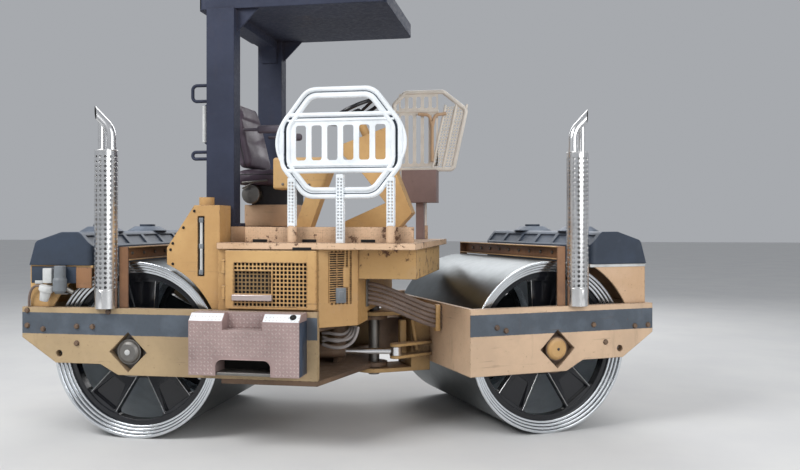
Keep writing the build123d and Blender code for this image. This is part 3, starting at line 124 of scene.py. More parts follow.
def grid_faces(rows, columns, wrap_rows=False, wrap_columns=True):
    """Quads between neighbours on a grid of rows and columns, joined round where it wraps."""
    row, column = np.meshgrid(np.arange(rows - (not wrap_rows)), np.arange(columns - (not wrap_columns)),
                              indexing="ij")
    row_on, column_on = (row + 1) % rows, (column + 1) % columns
    corners = (row * columns + column, row * columns + column_on, row_on * columns + column_on,
               row_on * columns + column)
    return np.stack(corners, -1).reshape(-1, 4)


def surface(points, wrap_rows=False, wrap_columns=True, capped=False):
    """Shape over a grid of points, its end rows closed by flat caps on request."""
    rows, columns = points.shape[:2]
    faces = [grid_faces(rows, columns, wrap_rows, wrap_columns)]
    if capped:
        ring = np.arange(columns)[None]
        faces += [ring[:, ::-1], ring + (rows - 1) * columns]
    return points.reshape(-1, 3), faces


def join(*shapes):
    """Several shapes as one."""
    starts = np.cumsum([0] + [len(points) for points, faces in shapes])
    faces = [face + start for (points, group), start in zip(shapes, starts) for face in group]
    return np.concatenate([points for points, group in shapes]), faces


def rounded(corners, radius, closed=False, steps=8):
    """Path through corners, each turned on an arc: its centre lies on the corner's bisector, and the arc's
    points are weighted by sines from the first touching point to the second."""
    corners = np.asarray(corners, float)
    if closed:
        before, here, after = np.roll(corners, 1, 0), corners, np.roll(corners, -1, 0)
    else:
        before, here, after = corners[:-2], corners[1:-1], corners[2:]
    back, on = unit(before - here), unit(after - here)
    half = np.arccos(np.clip((back * on).sum(-1), -1, 1))[:, None] / 2
    centre = here + unit(back + on) * radius / np.sin(half)
    first, second = here + back * radius / np.tan(half) - centre, here + on * radius / np.tan(half) - centre
    sweep = (np.pi - 2 * half)[:, None]
    share = np.linspace(0, 1, steps + 1)[None, :, None]
    arcs = np.sin((1 - share) * sweep) * first[:, None] + np.sin(share * sweep) * second[:, None]
    path = (centre[:, None] + arcs / np.sin(sweep)).reshape(-1, corners.shape[1])
    return path if closed else np.concatenate([corners[:1], path, corners[-1:]])


def tube(path, radius, sides=16, closed=False):
    """Circle carried along a path: at each point it spans the two directions square to the path, the first
    taken against the main axis that the path follows least."""
    path = np.asarray(path, float)
    ahead = np.roll(path, -1, 0) - np.roll(path, 1, 0) if closed else np.gradient(path, axis=0)
    ahead = unit(ahead)
    aside = unit(np.cross(np.eye(3)[np.abs(ahead).max(0).argmin()], ahead))
    over = np.cross(ahead, aside)
    angle = np.linspace(0, 2 * np.pi, sides, endpoint=False)[None, :, None]
    ring = aside[:, None] * np.cos(angle) + over[:, None] * np.sin(angle)
    reach = np.broadcast_to(np.asarray(radius, float), len(path))[:, None, None]
    return surface(path[:, None] + ring * reach, wrap_rows=closed, capped=not closed)


def lathe(profile, foot, axis=(0, 0, 1), sides=48, closed=False, capped=False):
    """Profile of radius and distance along an axis, turned round that axis through its foot."""
    profile = np.asarray(profile, float)
    axis = unit(np.asarray(axis, float))
    aside = unit(np.cross(np.eye(3)[np.abs(axis).argmin()], axis))
    over = np.cross(axis, aside)
    angle = np.linspace(0, 2 * np.pi, sides, endpoint=False)[None, :, None]
    ring = aside * np.cos(angle) + over * np.sin(angle)
    points = np.asarray(foot, float) + axis * profile[:, 1, None, None] + ring * profile[:, 0, None, None]
    return surface(points, wrap_rows=closed, capped=capped)


def rounded_box(low, high, radius, steps=3):
    """Box with round edges: each point of a sphere's grid pushed out to the box's corner on its side."""
    low, high = np.asarray(low, float), np.asarray(high, float)
    quarter = np.linspace(0, np.pi / 2, steps + 1)
    around = (quarter + np.arange(4)[:, None] * np.pi / 2).ravel()[None]
    quadrant = np.repeat(np.arange(4), steps + 1)[None]
    up = np.concatenate([quarter - np.pi / 2, quarter])[:, None]
    sides = (np.where(quadrant % 3 == 0, 1, -1), np.where(quadrant < 2, 1, -1),
             np.repeat([-1, 1], steps + 1)[:, None])
    ball = (np.cos(up) * np.cos(around), np.cos(up) * np.sin(around), np.sin(up) + 0 * around)
    core, middle = (high - low) / 2 - radius, (low + high) / 2
    points = [middle[i] + sides[i] * core[i] + radius * ball[i] for i in range(3)]
    return surface(np.stack(np.broadcast_arrays(*points), -1), capped=True)


def pierced(hole, pitch, columns, rows, thick, keep=None):
    """Sheet of like cells, each a ring between its rectangle and a hole, with the hole's wall and the back:
    four rows of points, the rectangle's being the hole's pushed out to the cell's border."""
    half = np.asarray(pitch, float) / 2
    border = hole / np.abs(hole / half).max(1, keepdims=True)
    for corner in ((1, 1), (-1, 1), (-1, -1), (1, -1)):
        border[np.argmax((unit(hole / half) * corner).sum(1))] = half * corner
    depth = (0, 0, -thick, -thick)
    rings = [np.column_stack([flat, np.full(len(hole), z)])
             for flat, z in zip((border, hole, hole, border), depth)]
    cell = np.stack(rings)
    column, row = np.meshgrid(np.arange(columns), np.arange(rows), indexing="ij")
    chosen = np.ones(column.shape, bool) if keep is None else keep(column, row)
    middle = np.stack([column[chosen] - (columns - 1) / 2, row[chosen] - (rows - 1) / 2, 0 * row[chosen]], -1)
    middle = middle * (*pitch, 0)
    points = middle[:, None, None] + cell
    faces = grid_faces(*cell.shape[:2])[None] + np.arange(len(middle))[:, None, None] * cell[..., 0].size
    return points.reshape(-1, 3), [faces.reshape(-1, 4)]


def circle(radius, sides=16):
    """Points of a circle."""
    angle = np.linspace(0, 2 * np.pi, sides, endpoint=False)
    return radius * np.column_stack([np.cos(angle), np.sin(angle)])


def rectangle(x, y):
    """Corners of a rectangle, counterclockwise."""
    return np.array([(x[0], y[0]), (x[1], y[0]), (x[1], y[1]), (x[0], y[1])])


def stamped(form, places, normals, turn=0.0):
    """Copies of a small form that stands on its own z axis, one at each place, turned round its normal."""
    points, faces = form
    places, normals = np.asarray(places, float), np.asarray(normals, float)
    normals = unit(np.broadcast_to(normals, places.shape))
    level = np.where(np.abs(normals[:, 2:]) < 0.9, (0, 0, 1.0), (1.0, 0, 0))
    aside = unit(np.cross(level, normals))
    over = np.cross(normals, aside)
    turn = np.broadcast_to(np.asarray(turn, float), len(places))[:, None]
    aside, over = aside * np.cos(turn) + over * np.sin(turn), over * np.cos(turn) - aside * np.sin(turn)
    axes = np.stack([aside, over, normals], 1)
    copies = places[:, None] + np.einsum("pk,nkj->npj", points, axes)
    starts = np.arange(len(places))[:, None, None] * len(points)
    return copies.reshape(-1, 3), [(face[None] + starts).reshape(-1, face.shape[1]) for face in faces]


def bolt_head(size):
    """Hexagon head on a washer: rings of six and twelve corners at growing heights."""
    washer = lathe([(1.15 * size, 0), (1.15 * size, 0.18 * size), (0.9 * size, 0.2 * size)], (0, 0, 0),
                   sides=12)
    head = lathe([(size, 0.1 * size), (size, 0.7 * size), (0.8 * size, 0.85 * size)], (0, 0, 0), sides=6,
                 capped=True)
    return join(washer, head)


def at_depth(outline, depth):
    """Outline in x and z set at a depth y."""
    outline = np.asarray(outline, float)
    return np.column_stack([outline[:, 0], np.full(len(outline), depth), outline[:, 1]])


def moved(shape, mapping):
    """Shape with its points taken through a mapping."""
    return mapping(shape[0]), shape[1]


# Finishes by name
FINISHES = {}


def make(name, shape, finish, body, place=rear, replaces=(), merge=False, sharp=40.0):
    """Object of a shape, set in its end's frame, smooth between its sharp edges and riding on a body."""
    points, faces = place(shape[0]), shape[1]
    sizes = np.concatenate([np.full(len(face), face.shape[1]) for face in faces])
    mesh = bpy.data.meshes.new(name)
    mesh.vertices.add(len(points))
    mesh.vertices.foreach_set("co", points.astype(np.float32).ravel())
    mesh.loops.add(int(sizes.sum()))
    mesh.loops.foreach_set("vertex_index", np.concatenate([face.ravel() for face in faces]).astype(np.int32))
    mesh.polygons.add(len(sizes))
    mesh.polygons.foreach_set("loop_start", (np.cumsum(sizes) - sizes).astype(np.int32))
    mesh.update(calc_edges=True)
    if merge:
        work = bmesh.new()
        work.from_mesh(mesh)
        bmesh.ops.remove_doubles(work, verts=work.verts, dist=1e-6)
        work.to_mesh(mesh)
        work.free()
    mesh.validate()
    mesh.shade_smooth()
    mesh.set_sharp_from_angle(angle=math.radians(sharp))
    mesh.materials.append(FINISHES[finish])
    piece = bpy.data.objects.new(name, mesh)
    bpy.context.scene.collection.objects.link(piece)
    if body:
        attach(piece, body)
    if replaces:
        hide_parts(*replaces)
    return piece


# Finishes

def new_finish(name):
    """An empty node material with its shader, ready for a finish."""
    material = bpy.data.materials.new("roller_" + name)
    FINISHES[name] = material
    material.use_nodes = True
    tree = material.node_tree
    tree.nodes.clear()
    output = tree.nodes.new("ShaderNodeOutputMaterial")
    shader = tree.nodes.new("ShaderNodeBsdfPrincipled")
    tree.links.new(shader.outputs[0], output.inputs[0])
    return tree, shader


def add(tree, kind, inputs=None, **settings):
    """A node with its settings, and each input given as a value or as the socket that feeds it."""
    made = tree.nodes.new("ShaderNode" + kind)
    for key, value in settings.items():
        setattr(made, key, value)
    for key, value in (inputs or {}).items():
        if isinstance(value, bpy.types.NodeSocket):
            tree.links.new(value, made.inputs[key])
        else:
            made.inputs[key].default_value = value
    return made


def noise(tree, where, scale, detail=4.0, rough=0.6):
    """Soft cloud of values round one half."""
    return add(tree, "TexNoise",
               {"Vector": where, "Scale": scale, "Detail": detail, "Roughness": rough}).outputs[0]


def ramp(tree, value, low, high, start=0.0, end=1.0):
    """Value mapped from low..high to start..end, held at both ends."""
    feed = {0: value, 1: low, 2: high, 3: start, 4: end}
    return add(tree, "MapRange", feed, interpolation_type="SMOOTHSTEP").outputs[0]


def mix(tree, share, first, second):
    """Colour between two colours by a share."""
    made = add(tree, "Mix", data_type="RGBA")
    for index, value in ((0, share), (6, first), (7, second)):
        if isinstance(value, bpy.types.NodeSocket):
            tree.links.new(value, made.inputs[index])
        else:
            made.inputs[index].default_value = value if index == 0 else (*value[:3], 1.0)
    return made.outputs[2]


def step(tree, operation, *values):
    """One arithmetic step."""
    return add(tree, "Math", dict(enumerate(values)), operation=operation).outputs[0]


def worn_edge(tree, radius):
    """Share that rises to one along hard edges, from the angle between the flat and the rounded normal, and
    that rounded normal."""
    soft = add(tree, "Bevel", {"Radius": radius}, samples=4).outputs[0]
    flat = add(tree, "NewGeometry").outputs["Normal"]
    cosine = add(tree, "VectorMath", {0: soft, 1: flat}, operation="DOT_PRODUCT").outputs["Value"]
    return ramp(tree, cosine, 0.995, 0.90), soft


def upward(tree):
    """Share of a face that looks up."""
    normal = add(tree, "NewGeometry").outputs["Normal"]
    return ramp(tree, add(tree, "SeparateXYZ", {0: normal}).outputs[2], 0.3, 0.9)


def stripe_share(tree, where, side, low, high):
    """Share of the stripe: places outside the yoke's half width along its side axis and between two
    heights, both blurred a little by a cloud."""
    ragged = step(tree, "MULTIPLY", step(tree, "SUBTRACT", noise(tree, where, 60.0, 3.0), 0.5), 0.006)
    spread = add(tree, "VectorMath", {0: where, 1: Vector(HITCH)}, operation="SUBTRACT").outputs[0]
    across = add(tree, "VectorMath", {0: spread, 1: side}, operation="DOT_PRODUCT").outputs["Value"]
    outside = step(tree, "GREATER_THAN", step(tree, "ABSOLUTE", across), YOKE_HALF - 0.004)
    height = step(tree, "ADD", add(tree, "SeparateXYZ", {0: spread}).outputs[2], ragged)
    over = ramp(tree, height, low - 0.002, low + 0.002)
    under = ramp(tree, height, high + 0.002, high - 0.002)
    return step(tree, "MULTIPLY", outside, step(tree, "MULTIPLY", over, under))


def paint(name, colour, dark, chip, rough=0.5, wear=1.0, dirt_and_shade=0.5, dust=(0.52, 0.38, 0.28), dusty=0.5,
          stripe=None, blotch=0.78, shine=0.5, below=None):
    """Old machine paint: clouded colour, an optional stripe, dust on top, dirt in streaks and painted shade in
    corners from ambient occlusion, rust blotches where a cloud passes their limit, chips along edges and fine
    bumps."""
    tree, shader = new_finish(name)
    where = add(tree, "TexCoord").outputs["Object"]
    edge, soft = worn_edge(tree, 0.007)
    cloud = noise(tree, where, 1.7, 7.0, 0.62)
    patch = noise(tree, where, 7.0, 5.0, 0.6)
    stretched = add(tree, "Mapping", {"Vector": where, "Scale": (5.0, 5.0, 1.1)}).outputs[0]
    streak = noise(tree, stretched, 2.0, 6.0, 0.7)
    speck = noise(tree, where, 42.0, 6.0, 0.75)
    tone = mix(tree, ramp(tree, cloud, 0.34, 0.66), colour, dark)
    if below:
        limit, under = below
        spread = add(tree, "VectorMath", {0: where, 1: Vector(HITCH)}, operation="SUBTRACT").outputs[0]
        rise = add(tree, "SeparateXYZ", {0: spread}).outputs[2]
        tone = mix(tree, ramp(tree, rise, limit - 0.004, limit + 0.004), under, tone)
    tone = mix(tree, ramp(tree, patch, 0.55, 0.75, 0.0, 0.4 * dusty), tone, dust)
    if stripe:
        side, low, high, slate = stripe
        faded = mix(tree, ramp(tree, patch, 0.42, 0.7, 0.0, 0.45), slate, [min(1.0, c * 1.8) for c in slate])
        tone = mix(tree, stripe_share(tree, where, side, low, high), tone, faded)
    tone = mix(tree, step(tree, "MULTIPLY", upward(tree), ramp(tree, patch, 0.3, 0.6, 0.5 * dusty, dusty)),
               tone, dust)
    # Painted shade: ambient occlusion darkens corners and hollows, broken up by specks
    hidden = add(tree, "AmbientOcclusion", {"Distance": 0.12}, samples=4).outputs["AO"]
    corner = step(tree, "MULTIPLY", ramp(tree, hidden, 0.80, 0.25), ramp(tree, speck, 0.25, 0.6, 0.5, 1.0))
    grime_and_shade = step(tree, "MAXIMUM", ramp(tree, streak, 0.56, 0.80, 0.0, 0.55), corner)
    grime_and_shade = step(tree, "MAXIMUM", grime_and_shade, ramp(tree, speck, 0.60, 0.72, 0.0, 0.7))
    level = add(tree, "Mapping", {"Vector": where, "Scale": (1.6, 1.6, 34.0)}).outputs[0]
    scratch = step(tree, "MULTIPLY", ramp(tree, noise(tree, level, 1.5, 5.0, 0.7), 0.60, 0.70),
                   ramp(tree, patch, 0.42, 0.62))
    grime_and_shade = step(tree, "MAXIMUM", grime_and_shade, step(tree, "MULTIPLY", scratch, 0.75))
    # Dirt and painted shade: streaks, specks and scratches of dirt and the painted corner shade all go to one dark
    # brown
    tone = mix(tree, step(tree, "MULTIPLY", grime_and_shade, dirt_and_shade), tone, (0.085, 0.052, 0.034))
    rust = step(tree, "ADD", step(tree, "MULTIPLY", noise(tree, where, 13.0, 5.0, 0.7), 0.8),
                step(tree, "MULTIPLY", edge, 0.12))
    chips = step(tree, "MULTIPLY", edge, ramp(tree, speck, 0.50, 0.57))
    spots = ramp(tree, noise(tree, where, 48.0, 3.0, 0.7), 0.70, 0.74)
    chips = step(tree, "MAXIMUM", chips,
                 step(tree, "MAXIMUM", spots, ramp(tree, rust, blotch * 0.8, blotch * 0.8 + 0.05)))
    chips = step(tree, "MULTIPLY", chips, wear)
    tone = mix(tree, chips, tone, chip)
    tree.links.new(tone, shader.inputs["Base Color"])
    tree.links.new(ramp(tree, speck, 0.3, 0.7, rough - 0.06, rough + 0.18), shader.inputs["Roughness"])
    shader.inputs["Specular IOR Level"].default_value = shine
    height = step(tree, "SUBTRACT", speck, step(tree, "MULTIPLY", chips, 0.8))
    grain = add(tree, "Bump", {"Height": height, "Normal": soft, "Strength": 0.16, "Distance": 0.004})
    tree.links.new(grain.outputs[0], shader.inputs["Normal"])


def metal(name, colour, rough, scuff=0.1, scale=30.0, soil_and_shade=0.12, stain_and_shade=(0.16, 0.13, 0.11), share=1.0,
          grainy=True):
    """Bright metal with smears in its gloss where it is scuffed, a dull film in patches, painted shade in corners
    from ambient occlusion and, where grainy, a fine grain; a share under one mixes in a plain bright coat."""
    tree, shader = new_finish(name)
    where = add(tree, "TexCoord").outputs["Object"]
    smear = noise(tree, where, scale, 5.0, 0.65)
    film = noise(tree, where, 4.0, 6.0, 0.65)
    tone = mix(tree, ramp(tree, film, 0.35, 0.7), colour, [c * 0.82 for c in colour])
    # Painted shade: ambient occlusion darkens corners, joined with the dull film's patches
    hidden = add(tree, "AmbientOcclusion", {"Distance": 0.05}, samples=4).outputs["AO"]
    corner = step(tree, "MAXIMUM", ramp(tree, hidden, 0.6, 0.2), ramp(tree, film, 0.6, 0.8))
    tone = mix(tree, step(tree, "MULTIPLY", corner, soil_and_shade), tone, stain_and_shade)
    tree.links.new(tone, shader.inputs["Base Color"])
    shader.inputs["Metallic"].default_value = share
    tree.links.new(ramp(tree, smear, 0.3, 0.75, rough, rough + scuff), shader.inputs["Roughness"])
    if grainy:
        soft = add(tree, "Bevel", {"Radius": 0.003}, samples=4).outputs[0]
        grain = add(tree, "Bump", {"Height": smear, "Normal": soft, "Strength": 0.006, "Distance": 0.002})
        tree.links.new(grain.outputs[0], shader.inputs["Normal"])


def plastic(name, colour, rough, dust=(0.30, 0.28, 0.25), dusty=0.35, grain_scale=220.0, grain_depth=0.10,
            edge=0.006):
    """Moulded plastic, rubber or vinyl with a fine grain, paler worn edges and dust on faces turned up."""
    tree, shader = new_finish(name)
    where = add(tree, "TexCoord").outputs["Object"]
    grain = noise(tree, where, grain_scale, 2.0, 0.5)
    cloud = noise(tree, where, 5.0, 6.0, 0.65)
    worn, soft = worn_edge(tree, edge)
    lying = step(tree, "MULTIPLY", upward(tree), ramp(tree, cloud, 0.3, 0.7, 0.35, 1.0))
    lying = step(tree, "MAXIMUM", lying, ramp(tree, cloud, 0.55, 0.8, 0.0, 0.25))
    tone = mix(tree, ramp(tree, cloud, 0.3, 0.7), colour, [c * 0.7 for c in colour])
    tone = mix(tree, step(tree, "MULTIPLY", worn, 0.35), tone, [min(1.0, c * 2.2) for c in colour])
    tone = mix(tree, step(tree, "MULTIPLY", lying, dusty), tone, dust)
    tree.links.new(tone, shader.inputs["Base Color"])
    tree.links.new(ramp(tree, cloud, 0.3, 0.7, rough - 0.05, rough + 0.12), shader.inputs["Roughness"])
    bump = add(tree, "Bump", {"Height": grain, "Normal": soft, "Strength": grain_depth, "Distance": 0.002})
    tree.links.new(bump.outputs[0], shader.inputs["Normal"])


class RollerColours(bpy.types.PropertyGroup):
    """Colours of the finishes."""

    ochre: bpy.props.FloatVectorProperty(
        name="Machine paint", description="Faded ochre of the frames", subtype="COLOR",
        default=(0.60, 0.375, 0.155))
    slate: bpy.props.FloatVectorProperty(
        name="Slate paint", description="Blue grey of roll bar and canopy", subtype="COLOR",
        default=(0.036, 0.043, 0.073))
    stripe: bpy.props.FloatVectorProperty(
        name="Stripe", description="Faded slate of the stripe along both yokes", subtype="COLOR",
        default=(0.068, 0.084, 0.105))
    moulded: bpy.props.FloatVectorProperty(
        name="Moulded tanks", description="Slate plastic of the water tanks", subtype="COLOR",
        default=(0.031, 0.046, 0.074))
    alloy: bpy.props.FloatVectorProperty(
        name="Polished alloy", description="Bright metal of the drums", subtype="COLOR",
        default=(0.70, 0.73, 0.76))
    stripe_low: bpy.props.FloatProperty(
        name="Stripe foot", description="Lower edge of the stripe over the axle", unit="LENGTH",
        default=0.105)
    stripe_high: bpy.props.FloatProperty(
        name="Stripe top", description="Upper edge of the stripe over the axle", unit="LENGTH", default=0.242)


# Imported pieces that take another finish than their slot's own
SPECIAL_FINISH = {
    "rear_yoke": "rear_stripe_paint",
    "front_yoke": "front_stripe_paint",
    "front_spray_channel": "rusty_channel",
    "rear_spray_channel": "rusty_channel",
    "hitch_frame": "grimy_and_shade_paint",
    "front_neck": "neck_paint",
    "cylinder_bracket": "grimy_and_shade_paint",
    "rear_axle_bearings": "bare_steel",
    "front_axle_bearings": "grimy_and_shade_paint",
    "platform": "platform_paint",
    "front_tank_carrier": "deck_paint",
    "seat_deck": "deck_paint",
    "control_box": "brown_box",
    "steering_barrel": "grimy_and_shade_paint",
}


class ROLLER_OT_finishes(bpy.types.Operator):
    """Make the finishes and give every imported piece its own"""

    bl_idname = "roller.finishes"
    bl_label = "Finish packed pieces"

    def execute(self, context):
        colours = context.scene.roller_colours
        ochre, slate, moulded, alloy = (list(c) for c in (colours.ochre, colours.slate, colours.moulded,
                                                          colours.alloy))
        dark = [c * k for c, k in zip(ochre, (0.80, 0.74, 0.68))]
        rust, black = (0.11, 0.050, 0.026), (0.03, 0.02, 0.016)
        paint("yellow_paint", ochre, dark, rust, 0.48, 0.9, 0.5)
        paint("deck_paint", (0.68, 0.47, 0.31), (0.57, 0.37, 0.22), rust, 0.6, 1.0, 0.55, blotch=0.72)
        paint("platform_paint", (0.68, 0.47, 0.31), (0.57, 0.37, 0.22), rust, 0.6, 1.0, 0.55, blotch=0.565,
              below=(PLATFORM_TOP - 0.041, [c * 0.92 for c in ochre]))
        # Darkened ochre: painted shade for the doors' grille pockets
        paint("shade_paint", [c * 0.45 for c in ochre], [c * 0.35 for c in ochre], rust, 0.6, 1.0, 0.6)
        paint("neck_paint", [c * 0.90 for c in ochre], [c * 0.60 for c in ochre], rust, 0.55, 1.0, 0.75,
              blotch=0.68)
        # Dark brown grime for the hitch's parts and bolts, also used as painted shade on the plate beside the
        # hitch
        paint("grimy_and_shade_paint", (0.20, 0.125, 0.075), (0.09, 0.058, 0.042), black, 0.55, 1.0, 0.95, dusty=0.3)
        for end, side, coat in (("rear", (0, 1, 0), (0.46, 0.335, 0.19)),
                                ("front", tuple(FRONT_SIDE), (0.68, 0.48, 0.32))):
            band = (side, colours.stripe_low, colours.stripe_high, list(colours.stripe))
            paint(f"{end}_stripe_paint", coat, [c * 0.8 for c in coat], rust, 0.5, 0.8, 0.6, stripe=band)
        paint("rusty_channel", (0.30, 0.15, 0.07), (0.17, 0.08, 0.04), black, 0.42, 1.0, 0.6,
              (0.42, 0.25, 0.14))
        paint("brown_box", (0.27, 0.18, 0.165), (0.21, 0.14, 0.13), (0.34, 0.27, 0.24), 0.5, 0.5, 0.4,
              dusty=0.2)
        paint("slate_paint", slate, [c * 0.75 for c in slate], (0.015, 0.015, 0.02), 0.55, 0.5, 0.3,
              (0.07, 0.08, 0.12), 0.3, shine=0.2)
        plastic("slate_plastic", moulded, 0.50, (0.32, 0.37, 0.45), 0.65, 150.0, 0.12, 0.012)
        metal("polished_alloy", alloy, 0.22, 0.0, 24.0, 0.1, grainy=False)
        # Painted light: pale, mostly diffuse alloy that lifts the drums' shaded bores
        metal("painted_light_alloy", (0.78, 0.84, 0.88), 0.50, 0.2, 24.0, 0.1, share=0.15, grainy=False)
        metal("tread_steel", (0.17, 0.19, 0.20), 0.32, 0.05, 18.0, 0.1)
        metal("chrome", (0.84, 0.84, 0.84), 0.25, 0.0, 30.0, 0.0, grainy=False)
        metal("white_metal", (0.86, 0.90, 0.93), 0.34, 0.02, 30.0, 0.0, share=0.0, grainy=False)
        metal("tan_metal", (0.84, 0.77, 0.68), 0.34, 0.02, 30.0, 0.25, (0.30, 0.20, 0.12), share=0.0,
              grainy=False)
        metal("tread_plate", (0.43, 0.315, 0.30), 0.38, 0.16, 40.0, 0.5, (0.16, 0.11, 0.11), share=0.35)
        metal("tread_bright", (0.58, 0.49, 0.47), 0.28, 0.12, 40.0, 0.3, share=0.5)
        metal("bare_steel", (0.26, 0.25, 0.235), 0.42, 0.2, 30.0, 0.5, (0.08, 0.06, 0.05))
        plastic("black_gloss", (0.010, 0.011, 0.015), 0.13, dusty=0.10, grain_depth=0.02)
        # Near black: black parts such as screws and the exhaust's bore, and painted shade in holes, slots, creases
        # and behind grilles
        plastic("black_and_shade", (0.010, 0.009, 0.009), 0.9, dusty=0.05)
        plastic("seat_vinyl", (0.092, 0.064, 0.092), 0.45, (0.18, 0.14, 0.16), 0.30, 320.0, 0.22)
        plastic("dark_plastic", (0.030, 0.029, 0.034), 0.42, grain_depth=0.14)
        plastic("grey_vinyl_arm", (0.13, 0.11, 0.14), 0.45, grain_depth=0.14)
        plastic("white_plastic", (0.66, 0.67, 0.66), 0.40, (0.36, 0.30, 0.25), 0.3)
        plastic("grey_plastic", (0.20, 0.22, 0.24), 0.45, (0.36, 0.32, 0.28), 0.3)
        plastic("pale_hose", (0.34, 0.31, 0.30), 0.5, (0.34, 0.24, 0.17), 0.5)
        plastic("hose_rubber", (0.20, 0.145, 0.12), 0.6, (0.34, 0.24, 0.17), 0.6, 260.0, 0.15, 0.002)
        for row in frame["record"]["subparts"]:
            piece = NODES[row["node"]]
            piece.data.materials.clear()
            piece.data.materials.append(FINISHES[SPECIAL_FINISH.get(row["node"], row["material_slot"])])
        return {"FINISHED"}


# Drums

class RollerDrums(bpy.types.PropertyGroup):
    """Rims and spokes of the drums."""

    lip: bpy.props.FloatProperty(name="Lip", description="Width of the outer lip", unit="LENGTH",
                                 default=0.020)
    tread_step: bpy.props.FloatProperty(name="Step", description="Drop of each rim step", unit="LENGTH",
                                        default=0.018)
    step_depth: bpy.props.FloatProperty(name="Step depth", description="How far each step lies in",
                                        unit="LENGTH", default=0.015)
    edge: bpy.props.FloatProperty(name="Edge", description="Rounding of the rim's edges", unit="LENGTH",
                                  default=0.005)
    trim: bpy.props.FloatProperty(name="Trim", description="Radius of the bright lines on the spokes",
                                  unit="LENGTH", default=0.0018)
    spokes: bpy.props.IntProperty(name="Spokes", description="Spokes of each wheel", default=5)


RIM_STEPS = 3
WHEEL_DEPTH = 0.062
SHELL_WALL = 0.030
WHEEL_RING = 0.034
WEB_SET_IN = 0.023
WEB_DISH = 0.045
HUB_R = 0.118
SPOKE_ROOT = 0.150
SPOKE_TIP = 0.250
AXLE_R = 0.055
TREAD_SKIN = 0.0003
TREAD_EDGE = 0.012
GROOVE_R = 0.0020
HUB_CAP_FOOT = YOKE_HALF - 0.022


def rim_profile(drums):
    """Closed profile of a drum, radius and distance from its middle: out along the tread, down the lip's
    steps to the wheel's seat, and back along the barrel; one half mirrored to the other, with every corner
    rounded."""
    corners = [(DRUM_R, DRUM_HALF)]
    for count in range(RIM_STEPS):
        inner = DRUM_R - drums.lip - drums.tread_step * count
        corners += [(inner, DRUM_HALF - drums.step_depth * count),
                    (inner, DRUM_HALF - drums.step_depth * (count + 1))]
    seat = DRUM_R - drums.lip - drums.tread_step * RIM_STEPS
    foot = DRUM_HALF - drums.step_depth * RIM_STEPS
    corners += [(seat, foot), (seat, foot - WHEEL_DEPTH), (DRUM_R - SHELL_WALL, foot - 2 * WHEEL_DEPTH)]
    corners = np.array(corners)
    return rounded(np.concatenate([corners[::-1] * (1, -1), corners]), drums.edge, closed=True, steps=5)


def wheel_trim(drums, hand):
    """Bright lines on a wheel's face: two along each spoke, a little inside its edges. A line's place along
    and across its spoke gives its radius, and the dished face its depth."""
    ring = DRUM_R - drums.lip - drums.tread_step * RIM_STEPS - WHEEL_RING
    face = DRUM_HALF - drums.step_depth * (RIM_STEPS + 1) - WEB_SET_IN + drums.step_depth

    def on_face(line):
        depth = face - WEB_DISH * (ring - np.linalg.norm(line, axis=1)) / (ring - AXLE_R)
        return np.column_stack([line[:, 0], hand * depth, line[:, 1]])

    along = np.linspace(1.6 * HUB_R, ring - 0.008, 12)
    width = SPOKE_ROOT + (SPOKE_TIP - SPOKE_ROOT) * (along - HUB_R) / (DRUM_R - HUB_R)
    lines = []
    for spoke in range(drums.spokes):
        turn = np.pi / 2 + 2 * np.pi * spoke / drums.spokes
        spin = np.array([(np.cos(turn), np.sin(turn)), (-np.sin(turn), np.cos(turn))])
        for edge in (-1, 1):
            route = np.column_stack([np.sqrt(along ** 2 - (width / 2) ** 2), edge * (width / 2 - 0.005)])
            lines.append(tube(on_face(route @ spin), drums.trim, 8))
    return lines


